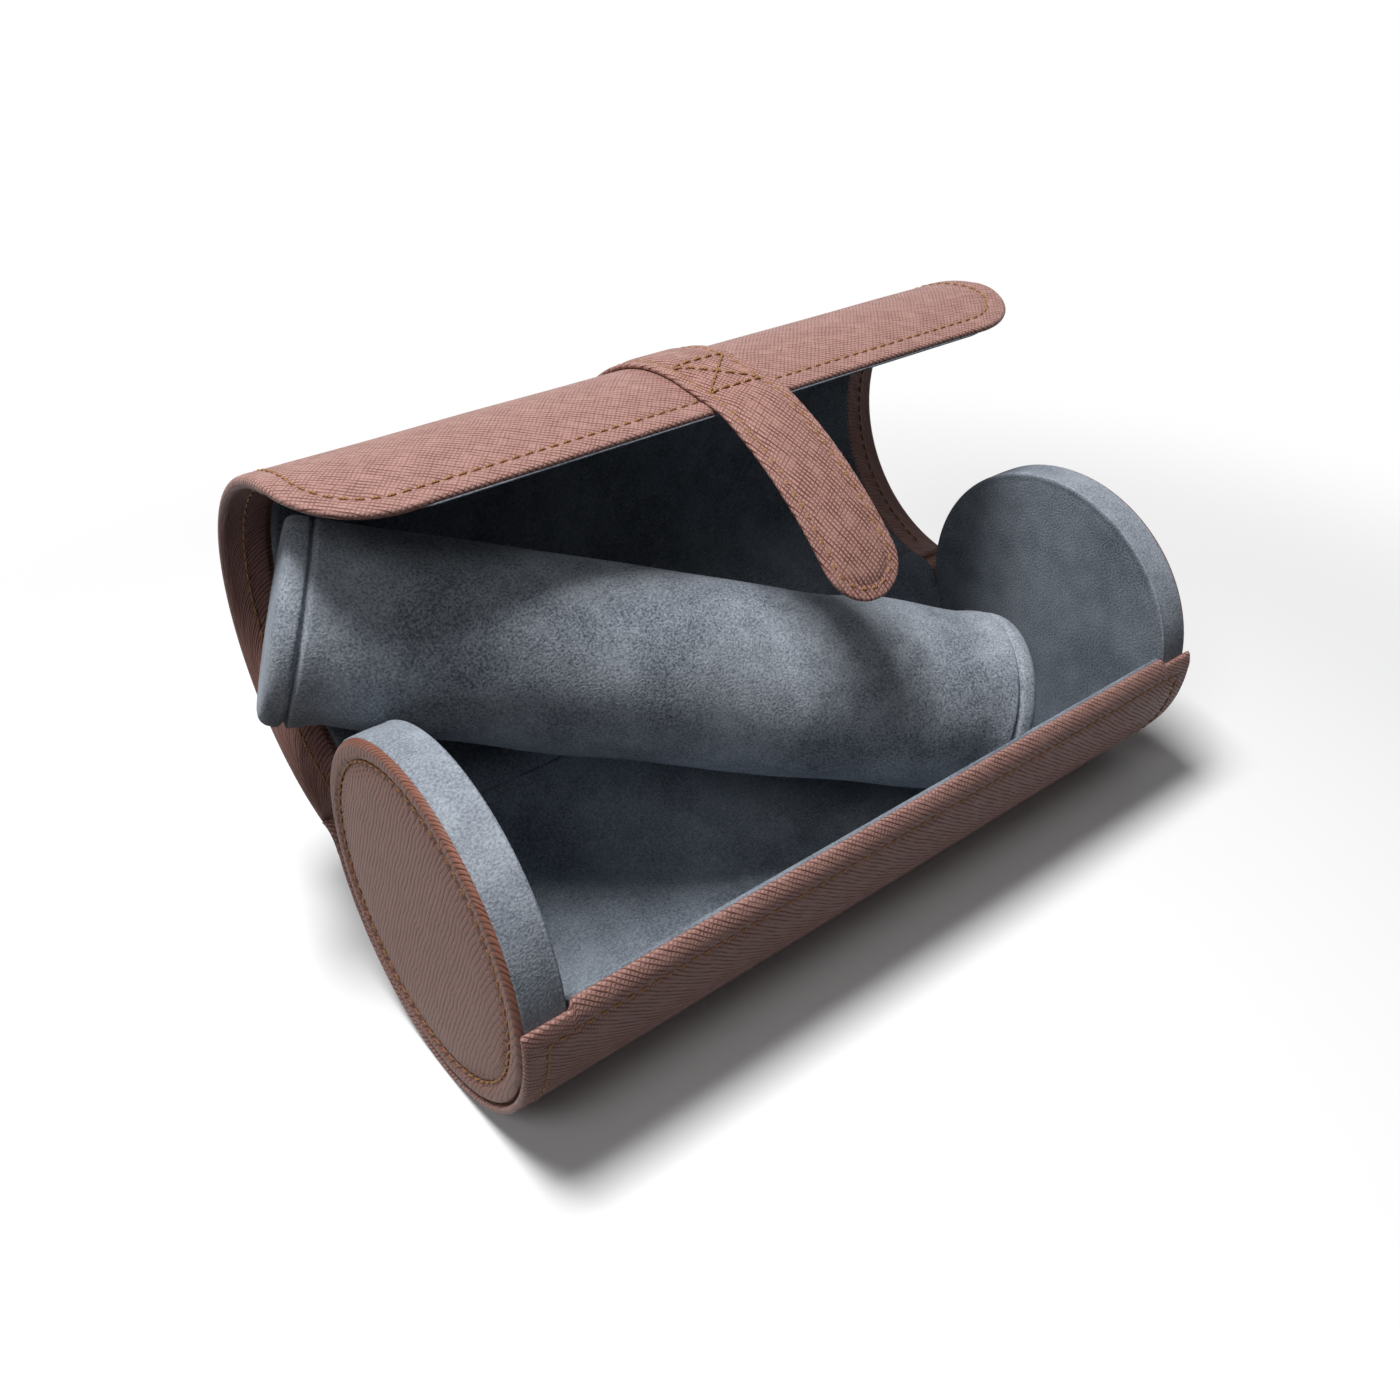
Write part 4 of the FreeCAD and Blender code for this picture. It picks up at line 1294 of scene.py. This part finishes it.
        # The inner face takes the lining's darker suede: painted shade inside the case.
        self.shade_inner_face(suede.data)
        stand_for(suede, "tray", "grey_suede", f"{end}_rim_suede", f"{end}_lining", f"{end}_foam")
        angle = np.linspace(0.0, 2.0 * np.pi, 721)
        radius = self.case.disc_radius - self.stitch_inset
        x = np.full_like(angle, self.side * (self.case.half - self.groove - 0.2 * MM))
        ring = self.case.standing(np.stack([x, radius * np.cos(angle), radius * np.sin(angle)], axis=-1))
        outwards = np.broadcast_to(np.array([float(self.side), 0.0, 0.0]), ring.shape)
        thread = Sewing().sew(f"{end}_stitching", [(ring, outwards)], finishes.thread, closed=True)
        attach(thread, "tray")


# The lid


@dataclass
class LidShell(Layer):
    """The lid's leather over its board: a hem turned in at both ends and a thin skirt along the front."""

    shell: float = 2.0 * MM
    hem: float = 2.8 * MM
    skirt: float = 1.2 * MM
    hem_width: float = 11.0 * MM
    skirt_start: float = 0.0
    stitch_inset: float = 5.0 * MM
    edge_roll: float = 0.75 * MM
    clearance: float = 0.08 * MM
    groove: float = 0.26 * MM
    groove_width: float = 0.8 * MM
    border_swell: float = 0.10 * MM
    wave: float = 0.06 * MM
    wavelength: float = 55.0 * MM
    row_start: float = 6.0 * MM

    def upper(self, x: np.ndarray, s: np.ndarray, depth: np.ndarray) -> np.ndarray:
        """The outer face: drawn in along the stitch row, and a little full in the border outside it."""
        open_back = smooth(2.0 * MM, self.row_start, s)
        groove = ridge(depth, self.stitch_inset, self.groove_width) * open_back
        full = self.border_swell * smooth(1.0 * MM, 2.6 * MM, depth)
        full = full * (1.0 - smooth(2.6 * MM, self.stitch_inset, depth))
        waves = self.wave * gentle_waves(x, s, 3, self.wavelength)
        return -self.clearance - self.groove * groove + full * open_back + waves

    def lower(self, x: np.ndarray, s: np.ndarray, depth: np.ndarray) -> np.ndarray:
        """The inner face: the board's, deeper under the hems and shallower on the skirt."""
        hem_edge = self.outline.half_width - self.hem_width
        wall = self.shell + (self.hem - self.shell) * smooth(hem_edge, hem_edge + MM, np.abs(x))
        thin = smooth(self.skirt_start - 2.0 * MM, self.skirt_start + 0.6 * MM, s)
        roll = self.edge_roll * (1.0 - smooth(1.2 * MM, 3.0 * MM, depth)) * thin
        return -(wall + (self.skirt - wall) * thin + roll)

    def hem_lines(self) -> list[np.ndarray]:
        """The stitch rows on the inside of the hems, one at each end."""
        reach = self.skirt_start - self.row_start
        x = self.outline.half_width - self.stitch_inset
        ends = [np.array([[side * x, self.row_start], [side * x, reach]]) for side in (-1.0, 1.0)]
        return [resample(line, 400) for line in ends]


@dataclass
class LidLining(Layer):
    """The lid's padded suede, which thins to a facing over the skirt and shows under the leather's edge."""

    near: float = -2.05 * MM
    pad: float = 2.3 * MM
    facing_near: float = -1.25 * MM
    facing: float = 0.45 * MM
    step: float = 0.0
    step_width: float = 2.2 * MM
    wave: float = 0.15 * MM
    wavelength: float = 42.0 * MM

    def thinned(self, s: np.ndarray) -> np.ndarray:
        """Nought on the pad and one on the facing."""
        return smooth(self.step, self.step + self.step_width, s)

    def upper(self, x: np.ndarray, s: np.ndarray, depth: np.ndarray) -> np.ndarray:
        """The glued side."""
        return self.near + (self.facing_near - self.near) * self.thinned(s)

    def lower(self, x: np.ndarray, s: np.ndarray, depth: np.ndarray) -> np.ndarray:
        """The napped side, with faint swells."""
        thin = self.thinned(s)
        swell = self.wave * gentle_waves(x, s, 21, self.wavelength) * (1.0 - thin)
        return self.upper(x, s, depth) - self.pad + (self.pad - self.facing) * thin + swell


@dataclass
class Lid(Assembly):
    """The hinged lid: leather shell, suede lining and sewing."""

    back: float = math.radians(0.45)
    lining_back: float = math.radians(4.0)
    lining_front: float = math.radians(168.0)
    skirt: float = 12.5 * MM
    corner: float = 20.5 * MM
    overhang: float = 0.3 * MM
    lining_corner: float = 15.0 * MM
    lining_back_corner: float = 1.0 * MM
    side_gap: float = 0.5 * MM

    def along(self, angle: float) -> float:
        """Length along the section at a polar angle."""
        return (angle - self.back) * self.case.lid_out

    def build(self) -> bpy.types.Object:
        """Make the lid's pieces, let them ride on the lid, and give back its leather.

        Its section is a round back and top, then a straight skirt.
        """
        case = self.case
        path = round_path(case.lid_out, self.back, math.pi, (Run(self.skirt),))
        step = self.along(self.lining_front)
        outline = Outline(case.half, 0.0, path.length, self.corner)
        shell = LidShell("lid_shell", path, outline, Place.LID, columns=230, rows=180, skirt_start=step)
        leather = shell.build(case, self.finishes.lid)
        stand_for(leather, "lid", "brown_leather", "lid_leather", "lid_board")
        inside = Outline(
            case.inner_face - self.side_gap,
            self.along(self.lining_back),
            path.length + self.overhang,
            self.lining_corner,
            self.lining_back_corner,
        )
        lining = LidLining("lid_suede", path, inside, Place.LID, columns=130, rows=130, step=step)
        stand_for(lining.build(case, self.finishes.lining), "lid", "grey_suede", "lid_lining")
        row = outline.inset_line(shell.stitch_inset, shell.row_start, 1200)
        lines = [shell.line_on_top(case, row)]
        lines += [shell.line_below(case, line) for line in shell.hem_lines()]
        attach(Sewing().sew("lid_stitching", lines, self.finishes.thread), "lid")
        return leather


# The strap


@dataclass
class StrapLayer(Layer):
    """One of the strap's two leather layers; the outer one is padded between its stitch rows."""

    thickness: float = 1.2 * MM
    puff: float = 0.0
    puff_rise: float = 3.0 * MM
    stitch_inset: float = 2.5 * MM
    groove_depth: float = 0.40 * MM
    groove_width: float = 0.70 * MM

    def upper(self, x: np.ndarray, s: np.ndarray, depth: np.ndarray) -> np.ndarray:
        """The outer face: drawn in along the stitch row and full inside it."""
        groove = self.groove_depth * ridge(depth, self.stitch_inset, self.groove_width) if self.puff else 0.0
        full = self.puff * smooth(self.stitch_inset, self.stitch_inset + self.puff_rise, depth)
        return self.thickness - groove + full

    def lower(self, x: np.ndarray, s: np.ndarray, depth: np.ndarray) -> np.ndarray:
        """The inner face."""
        return np.zeros_like(s)


@dataclass
class Strap(Assembly):
    """The closing strap: sewn over the lid, with a free tail that bends."""

    lid: Lid
    back: float = math.radians(25.0)
    half_width: float = 10.0 * MM
    centre: float = 2.0 * MM
    tip: float = 9.8 * MM
    bend: tuple[float, float] = (15.0 * MM, math.radians(15.0))
    curve: tuple[float, float] = (95.0 * MM, math.radians(30.0))
    box_front: float = 4.5 * MM
    box_length: float = 14.0 * MM
    puff: float = 0.45 * MM
    hang_share: float = 0.25
    sewing: Sewing = Sewing(pitch=2.9 * MM, stitch=2.45 * MM, radius=0.37 * MM, rise=0.28 * MM)

    def box_lines(self, layer: StrapLayer, lid_edge: float) -> list[np.ndarray]:
        """The sewn box and its cross, where the strap meets the lid's front edge."""
        side = self.half_width - layer.stitch_inset
        front = lid_edge - self.box_front
        back = front - self.box_length
        lines = [[[-side, front], [side, front]], [[-side, back], [side, back]]]
        lines += [[[-side, back], [side, front]], [[-side, front], [side, back]]]
        return [resample(np.array(line), 60) for line in lines]

    def build(self) -> None:
        """Make both layers and the sewing, and bend them from the lid to the tail.

        The strap's line runs over the lid's outside and on along its tail. Both layers are laid from that
        line, so the backing lies inside the outer layer.
        """
        case, centre = self.case, self.centre
        runs = [Run(self.lid.skirt), *(Run(r * turn, turn) for r, turn in (self.bend, self.curve))]
        path = round_path(case.lid_out, self.back, math.pi, tuple(runs))
        lid_edge = case.lid_out * (math.pi - self.back) + self.lid.skirt
        outline = Outline(self.half_width, 0.0, path.length, self.tip)
        shared = {"fineness": 0.2, "centre_x": centre, "seam_at_front": True}
        under = StrapLayer("strap_backing", path, outline, Place.LID, 44, 420, **shared)
        over = StrapLayer("strap_face", path, outline, Place.LID, 96, 440, puff=self.puff, **shared)
        made = []
        for layer, nodes in (
            (under, ("strap_band_backing", "strap_tail_backing")),
            (over, ("strap_band", "strap_tail")),
        ):
            leather = layer.build(case, self.finishes.strap)
            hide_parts(*nodes)
            made.append(leather)
        row = outline.inset_line(over.stitch_inset, 2.0 * MM, 1200)
        lines = [over.line_on_top(case, line) for line in [row, *self.box_lines(over, lid_edge)]]
        made.append(self.sewing.sew("strap_stitching", lines, self.finishes.thread))
        for piece in made:
            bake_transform(piece)


# The hinge


@dataclass
class HingeStrip(Layer):
    """A strip folded between the tray's back edge and the lid's."""

    thickness: float = 1.0 * MM

    def upper(self, x: np.ndarray, s: np.ndarray, depth: np.ndarray) -> np.ndarray:
        """The outer side."""
        return np.full_like(s, self.thickness / 2)

    def lower(self, x: np.ndarray, s: np.ndarray, depth: np.ndarray) -> np.ndarray:
        """The inner side."""
        return np.full_like(s, -self.thickness / 2)


@dataclass
class Hinge(Assembly):
    """The leather and the suede that join the lid to the tray, each so deep under the tray and the lid."""

    lid: Lid
    leather_depths: tuple[float, float] = (0.5 * MM, 0.6 * MM)
    suede_depths: tuple[float, float] = (1.0 * MM, 3.2 * MM)
    side_gap: float = 0.4 * MM
    tuck: float = 0.9 * MM
    corner: float = 0.4 * MM

    def fold(self, tray_radius: float, lid_radius: float, lid_angle: float) -> SidePath:
        """The arc that leaves the tray's wall along it and reaches the open lid's edge.

        Args:
            tray_radius: Radius of the strip where it leaves the tray.
            lid_radius: Radius where it reaches the lid.
            lid_angle: Polar angle there, with the lid shut.

        Returns:
            The strip's line, drawn about the case's axis.
        """
        case = self.case
        begin = tray_radius * np.array([math.cos(TRAY_BACK), math.sin(TRAY_BACK)])
        shut = np.array([0.0, lid_radius * math.cos(lid_angle), lid_radius * math.sin(lid_angle)])
        goal = case.opened(shut)[1:] - np.array([0.0, case.axis_z])
        chord = goal - begin
        heading = TRAY_BACK + math.pi / 2
        swing = math.atan2(chord[1], chord[0]) - heading
        swing = (swing + math.pi) % (2.0 * math.pi) - math.pi
        reach = float(np.linalg.norm(chord))
        length = reach * swing / math.sin(swing)
        return SidePath((begin[0], begin[1]), heading, [Run(length, 2.0 * swing)])

    def build(self) -> None:
        """Make both strips and bend them from the tray to the lid."""
        case, lid = self.case, self.lid
        in_tray, in_lid = self.leather_depths
        outer = self.fold(case.tray_out - in_tray, case.lid_out - in_lid, lid.back)
        in_tray, in_lid = self.suede_depths
        inner = self.fold(case.disc_radius - in_tray, case.lid_out - in_lid, lid.lining_back)
        strips = (
            ("leather", outer, case.half, self.finishes.tray, "brown_leather"),
            ("suede", inner, case.inner_face - self.side_gap, self.finishes.lining, "grey_suede"),
        )
        for word, path, half, material, slot in strips:
            outline = Outline(half, -self.tuck, path.length + self.tuck, self.corner, self.corner)
            name = f"hinge_fold_{word}"
            strip = HingeStrip(name, path, outline, Place.TRAY, 120, 40, 0.3, seam_at_front=True)
            piece = strip.build(case, material)
            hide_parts(f"hinge_{word}")
            ends = case.standing(path.place(np.zeros(2), np.array([0.0, path.length]), np.zeros(2)))
            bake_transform(piece)


# The cushion


@dataclass(frozen=True)
class Roll:
    """Where the cushion lies: its left end, direction, two directions across, length and end radius."""

    start: np.ndarray
    direction: np.ndarray
    side: np.ndarray
    up: np.ndarray
    length: float
    end_radius: float

    @classmethod
    def read(cls, frame: dict) -> Roll:
        """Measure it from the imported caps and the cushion's slide.


        Returns:
            The roll.
        """
        joint = next(j for j in frame["joints"] if j["name"] == "cushion_slide")
        direction = -np.array(joint["axis"], float)
        direction /= np.linalg.norm(direction)
        clouds = [places(frame["nodes"][f"cushion_{word}_cap"]) for word in ("left", "right")]
        low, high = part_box("cushion_left_cap")
        left = np.array((low + high) / 2)
        reach = (clouds[0] - left) @ direction
        spread = clouds[0] - left - np.outer(reach, direction)
        start = left + direction * reach.min()
        length = float((clouds[1] - start).dot(direction).max())
        side = np.cross(direction, [0.0, 0.0, 1.0])
        side /= np.linalg.norm(side)
        end_radius = float(np.linalg.norm(spread, axis=1).max()) - 0.15 * MM
        return cls(start, direction, side, np.cross(side, direction), length, end_radius)

    def points(self, radius: np.ndarray, along: np.ndarray, angle: np.ndarray) -> np.ndarray:
        """Points on the roll: start + along * direction + radius * spoke."""
        spokes = np.cos(angle)[:, None] * self.side + np.sin(angle)[:, None] * self.up
        return self.start + along[:, None, None] * self.direction + radius[:, :, None] * spokes


def places(piece: bpy.types.Object) -> np.ndarray:
    """The places of a piece's vertices, count by 3."""
    cloud = np.empty(3 * len(piece.data.vertices))
    piece.data.vertices.foreach_get("co", cloud)
    return cloud.reshape(-1, 3)


@dataclass
class Cushion(Assembly):
    """The loose suede cushion: a soft roll with a sewn cap at each end."""

    cap: float = 5.8 * MM
    cap_round: float = 2.8 * MM
    cap_dome: float = 0.5 * MM
    seam: float = 1.25 * MM
    seam_width: float = 0.6 * MM
    crown: float = 0.9 * MM
    around: int = 200
    steps: int = 190
    coarse_steps: int = 44
    soft_from: float = 14.0 * MM
    slack: float = 0.6 * MM
    most_swell: float = 2.6 * MM
    pressure: float = 4.0
    frames: int = 20
    dent: float = 0.75 * MM
    dent_bias: float = 0.3
    dent_length: float = 40.0 * MM
    rub_gap: float = 0.45 * MM
    rub_round: float = 0.6 * MM
    rub_reach: float = 20.0 * MM
    free_room: float = 40.0 * MM
    drawn_out: tuple[float, float] = (114.0 * MM, 138.0 * MM)
    fill: float = 0.85
    shut_axis: Triple = (-0.5729, 0.6281, 0.5266)
    shut_anchor: Triple = (8.1 * MM, -8.9 * MM, -7.5 * MM)
    shut_keep: float = 0.48

    def profile(self, roll: Roll, body_steps: int) -> tuple[np.ndarray, np.ndarray]:
        """Radii and places along the roll: a domed cap, its round edge, the crowned side and the far cap.

        Args:
            roll: Where it lies.
            body_steps: Steps along the side.

        Returns:
            Radii and places from the left end to the right end.
        """
        length, end_radius = roll.length, roll.end_radius
        cap_r = np.linspace(0.0, end_radius - self.cap_round, 14)
        cap_x = self.cap_dome * (cap_r / end_radius) ** 2
        angle = np.linspace(0.0, np.pi / 2, 10)[1:]
        turn_r = end_radius - self.cap_round + self.cap_round * np.sin(angle)
        turn_x = self.cap_dome + self.cap_round * (1.0 - np.cos(angle))
        begin = self.cap_dome + self.cap_round + 0.4 * MM
        body_x = begin + edge_graded(body_steps, 0.16) * (length - 2.0 * begin)
        share = 2.0 * body_x / length - 1.0
        body_r = end_radius + self.crown * (1.0 - share**2)
        radius = np.concatenate([cap_r, turn_r, body_r, turn_r[::-1], cap_r[::-1]])
        place = np.concatenate([cap_x, turn_x, body_x, length - turn_x[::-1], length - cap_x[::-1]])
        return radius, place

    def swollen(self, points: np.ndarray, loose: np.ndarray) -> np.ndarray:
        """Blow the sleeve up as cloth with its caps held, and say how far each point moved.

        Args:
            points: Rows by columns by 3, a coarse grid of the roll.
            loose: For each row, whether it may move.

        Returns:
            The movements, no larger than the cap on them.
        """
        scene = bpy.context.scene
        mesh = grid_mesh("cushion_skin", points, np.zeros(points.shape[:2] + (2,)), around=True)
        skin = new_object("cushion_skin", mesh, self.finishes.cushion)
        columns = points.shape[1]
        held = skin.vertex_groups.new(name="held")
        rows = np.flatnonzero(~loose)
        held.add((rows[:, None] * columns + np.arange(columns)).reshape(-1).tolist(), 1.0, "REPLACE")
        cloth = skin.modifiers.new("skin", "CLOTH")
        cloth.settings.quality = 6
        cloth.settings.mass = 0.25
        cloth.settings.use_pressure = True
        cloth.settings.uniform_pressure_force = self.pressure
        cloth.settings.effector_weights.gravity = 0.0
        cloth.settings.vertex_group_mass = "held"
        cloth.settings.shrink_min = -0.03
        cloth.point_cache.frame_start = 1
        cloth.point_cache.frame_end = self.frames
        for frame_number in range(1, self.frames + 1):
            scene.frame_set(frame_number)
        shaped = skin.evaluated_get(bpy.context.evaluated_depsgraph_get()).to_mesh()
        moved = np.empty(3 * len(shaped.vertices))
        shaped.vertices.foreach_get("co", moved)
        bpy.data.objects.remove(skin)
        scene.frame_set(1)
        move = moved.reshape(points.shape) - points
        far = np.linalg.norm(move, axis=-1, keepdims=True)
        return move * np.minimum(1.0, self.most_swell / np.maximum(far, 1e-9))

    def swelling(self, roll: Roll, along: np.ndarray, angle: np.ndarray) -> np.ndarray:
        """The cloth's movements, worked out on a coarse grid and spread over the fine one.

        Args:
            roll: Where the cushion lies.
            along: Places of the fine grid's rows.
            angle: Angles of its columns.

        Returns:
            Rows by columns by 3.
        """
        coarse_r, coarse_along = self.profile(roll, self.coarse_steps)
        coarse_angle = angle[::3]
        loose = (coarse_along > self.cap) & (coarse_along < roll.length - self.cap)
        shrunk = np.where(loose, coarse_r - self.slack, coarse_r)
        radii = np.repeat(shrunk[:, None], len(coarse_angle), axis=1)
        swell = self.swollen(roll.points(radii, coarse_along, coarse_angle), loose)
        wrapped = np.concatenate([swell, swell[:, :1]], axis=1)
        turns = np.append(coarse_angle, 2.0 * np.pi)
        rows = np.stack([taken_at(angle, turns, row).T for row in wrapped])
        ordered = np.maximum.accumulate(coarse_along + np.arange(len(coarse_along)) * 1e-9)
        spread = taken_at(along, ordered, rows.reshape(len(coarse_along), -1))
        return spread.reshape(len(along), 3, len(angle)).transpose(0, 2, 1)

    def pressed(self, points: np.ndarray, lid: bpy.types.Object, roll: Roll) -> np.ndarray:
        """Flatten the side that leans on the lid's edge, so that the roll can be drawn out past it.

        The room at each angle round the roll is the distance from its axis to the lid's nearest point
        there, and a radius r becomes -k log(exp(-r / k) + exp(-room / k)), which is r well below the room.

        Args:
            points: Rows by columns by 3.
            lid: The lid's leather.
            roll: Where the cushion lies.

        Returns:
            The points, moved in where they stood too far out.
        """
        cloud = places(lid) - roll.start
        reach = cloud @ roll.direction
        away = cloud - np.outer(reach, roll.direction)
        near = (reach > -self.drawn_out[0]) & (reach < self.rub_reach)
        turn = np.arctan2(away @ roll.up, away @ roll.side) % (2.0 * np.pi)
        bins = (turn[near] / (2.0 * np.pi) * self.around).astype(int) % self.around
        room = np.full(self.around, self.free_room)
        np.minimum.at(room, bins, np.linalg.norm(away[near], axis=1) - self.rub_gap)
        room = np.min([np.roll(room, k) for k in range(-4, 5)], axis=0)
        room = np.mean([np.roll(room, k) for k in range(-3, 4)], axis=0)
        here = points - roll.start
        along = here @ roll.direction
        spoke = here - along[..., None] * roll.direction
        radius = np.linalg.norm(spoke, axis=-1)
        low = -self.rub_round * np.logaddexp(-radius / self.rub_round, -room[None, :] / self.rub_round)
        inwards = (low - radius) * (1.0 - smooth(*self.drawn_out, along))
        return points + spoke * (inwards / np.maximum(radius, 1e-6))[..., None]

    def build(self, frame: dict, lid: bpy.types.Object) -> None:
        """Make the cushion, blow it up and draw its seams as grooves.

        Args:
            lid: The lid's leather, which it leans on.
        """
        roll = Roll.read(frame)
        radius, along = self.profile(roll, self.steps)
        angle = np.linspace(0.0, 2.0 * np.pi, self.around, endpoint=False)
        a, b = roll.end_radius * np.cos(angle)[None, :], roll.end_radius * np.sin(angle)[None, :]
        soft = smooth(self.cap, self.soft_from, along) * smooth(self.cap, self.soft_from, roll.length - along)
        dents = gentle_waves(along[:, None] + 0.6 * a, b + 0.3 * a, 8, self.dent_length)
        r = radius[:, None] + soft[:, None] * self.dent * (dents - self.dent_bias)
        move = np.zeros((len(along), self.around, 3))
        move = self.swelling(roll, along, angle)
        r = r - self.slack * soft[:, None]
        for place in (self.cap, roll.length - self.cap):
            r = r - self.seam * ridge(along, place, self.seam_width)[:, None]
        points = roll.points(r, along, angle) + move * soft[:, None, None]
        points = self.pressed(points, lid, roll)
        flat = np.stack(np.broadcast_arrays(along[:, None], roll.end_radius * angle[None, :]), axis=-1)
        mesh = grid_mesh("cushion_roll", points, flat, around=True)
        merge_close(mesh)
        piece = new_object("cushion_roll", mesh, self.finishes.cushion)
        caps = ("cushion_left_cap", "cushion_right_cap")
        stand_for(piece, "cushion", "cushion_suede", "cushion_core", "cushion_sleeve", *caps)
        anchor = tuple(self.case.standing(np.array(self.shut_anchor)))
        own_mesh(piece)


# The studio


def eye_rays(tree: bpy.types.NodeTree) -> bpy.types.NodeSocket:
    """One for rays that the eye sees straight, in a gloss or through glass, and nought for light's own rays.

    Args:
        tree: The tree of the floor or the world.

    Returns:
        The socket that gives it.
    """
    path = add_node(tree, "ShaderNodeLightPath")
    seen = path.outputs["Is Camera Ray"]
    for word in ("Is Glossy Ray", "Is Transmission Ray"):
        either = {0: seen, 1: path.outputs[word]}
        seen = add_node(tree, "ShaderNodeMath", either, operation="MAXIMUM").outputs["Value"]
    return seen


@dataclass(frozen=True)
class Lamp:
    """A square area lamp: its name, where it hangs, its side and its power in watts."""

    name: str
    place: Triple
    size: float
    watts: float

    def hang(self, goal: Triple) -> None:
        """Add the lamp and let it face a point."""
        data = bpy.data.lights.new(self.name, "AREA")
        data.shape, data.size, data.energy = "SQUARE", self.size, self.watts
        lamp = bpy.data.objects.new(self.name, data)
        lamp.location = self.place
        lamp.rotation_euler = (Vector(goal) - Vector(self.place)).to_track_quat("-Z", "Y").to_euler()
        bpy.context.scene.collection.objects.link(lamp)


@dataclass(frozen=True)
class Studio:
    """A white sweep of floor, soft lamps and a camera where the photograph's stood."""

    camera_place: Triple = (-0.1716, -0.1928, 0.1821)
    camera_right: Triple = (0.7808, -0.6244, -0.0222)
    camera_down: Triple = (-0.3208, -0.3700, -0.8719)
    lens: float = 33.80
    sensor: float = 36.0
    shift: tuple[float, float] = (-0.0154, -0.0734)
    clip: tuple[float, float] = (0.01, 50.0)
    floor_half: float = 6.0
    shadow_reach: tuple[float, float] = (0.19, 0.36)
    world_light: float = 0.068
    lamp_goal: Triple = (0.0, 0.0, 0.05)
    lamps: tuple[Lamp, ...] = (
        Lamp("key", (-0.19, 0.06, 0.88), 0.27, 7.8),
        Lamp("left", (-0.62, -0.30, 0.72), 0.30, 1.25),
    )

    def camera(self, case: CaseFrame) -> None:
        """Set the camera up from its place, its right and its down directions."""
        data = bpy.data.cameras.new("camera")
        data.lens, data.sensor_width = self.lens, self.sensor
        data.shift_x, data.shift_y = self.shift
        data.clip_start, data.clip_end = self.clip
        right = Vector(self.camera_right).normalized()
        up = -Vector(self.camera_down)
        up = (up - up.dot(right) * right).normalized()
        back = right.cross(up)
        turn = Matrix((right, up, back)).transposed().to_4x4()
        place = Vector(self.camera_place) + Vector((0.0, 0.0, case.axis_z))
        camera = bpy.data.objects.new("camera", data)
        camera.matrix_world = Matrix.Translation(place) @ turn
        bpy.context.scene.collection.objects.link(camera)
        bpy.context.scene.camera = camera

    def floor(self) -> None:
        """A pale floor that the camera sees as white where it is lit and grey in the object's shadow.

        Further off it is plain white, because the lamps light only the middle.
        """
        half = self.floor_half
        corners = [(-half, -half, 0), (half, -half, 0), (half, half, 0), (-half, half, 0)]
        mesh = bpy.data.meshes.new("floor")
        mesh.from_pydata(corners, [], [(0, 1, 2, 3)])
        material, tree = new_material("matt_white_paper")
        here = add_node(tree, "ShaderNodeTexCoord").outputs["Object"]
        far = add_node(tree, "ShaderNodeVectorMath", {0: here}, operation="LENGTH").outputs["Value"]
        near, gone = self.shadow_reach
        away = add_node(
            tree,
            "ShaderNodeMapRange",
            {"Value": far, "From Min": near, "From Max": gone},
            interpolation_type="SMOOTHSTEP",
        ).outputs["Result"]
        paper = add_node(tree, "ShaderNodeBsdfDiffuse", {"Color": linear("#ffffff")})
        dim = add_node(tree, "ShaderNodeBsdfDiffuse", {"Color": linear("#2c2c2c")})
        white = add_node(tree, "ShaderNodeEmission", {"Strength": 1.0})
        shown = add_node(tree, "ShaderNodeMixShader", {0: away, 1: paper.outputs[0], 2: white.outputs[0]})
        mixed = {0: eye_rays(tree), 1: dim.outputs[0], 2: shown.outputs[0]}
        seen = add_node(tree, "ShaderNodeMixShader", mixed)
        add_node(tree, "ShaderNodeOutputMaterial", {"Surface": seen.outputs[0]})
        new_object("floor", mesh, material)

    def world(self) -> None:
        """Even pale light all round, which the camera sees as white."""
        world = bpy.data.worlds.new("studio")
        world.use_nodes = True
        tree = world.node_tree
        tree.nodes.clear()
        soft = add_node(
            tree, "ShaderNodeBackground", {"Color": linear("#f2f5fa"), "Strength": self.world_light}
        )
        white = add_node(tree, "ShaderNodeBackground", {"Color": linear("#ffffff"), "Strength": 1.0})
        mixed = {0: eye_rays(tree), 1: soft.outputs[0], 2: white.outputs[0]}
        seen = add_node(tree, "ShaderNodeMixShader", mixed)
        add_node(tree, "ShaderNodeOutputWorld", {"Surface": seen.outputs[0]})
        bpy.context.scene.world = world

    def build(self, case: CaseFrame) -> None:
        """Set up the whole studio."""
        bpy.context.scene.view_settings.view_transform = "Standard"
        self.camera(case)
        self.floor()
        self.world()
        for lamp in self.lamps:
            lamp.hang(self.lamp_goal)


def dress_inner_nodes(frame: dict, finishes: Finishes) -> None:
    """Give the hidden stiffeners, padding and magnets their materials.

    Args:
        finishes: The materials.
    """
    for name, node in frame["nodes"].items():
        if name.endswith("_board"):
            material = finishes.board
        elif name.endswith("_magnet"):
            material = finishes.steel
        else:
            material = finishes.foam
        node.data.materials.clear()
        node.data.materials.append(material)


def main() -> None:
    """Load the frame and build the case round it."""
    logging.basicConfig(level=logging.INFO, format="%(message)s")
    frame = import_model()
    case = CaseFrame.read(frame)
    finishes = Finishes()
    dress_inner_nodes(frame, finishes)
    Tray(case, finishes).build()
    for side in (-1, 1):
        EndDisc(case, finishes, side).build()
    lid = Lid(case, finishes)
    lid_leather = lid.build()
    Strap(case, finishes, lid).build()
    Hinge(case, finishes, lid).build()
    Cushion(case, finishes).build(frame, lid_leather)
    Studio().build(case)


if __name__ == "__main__":
    main()
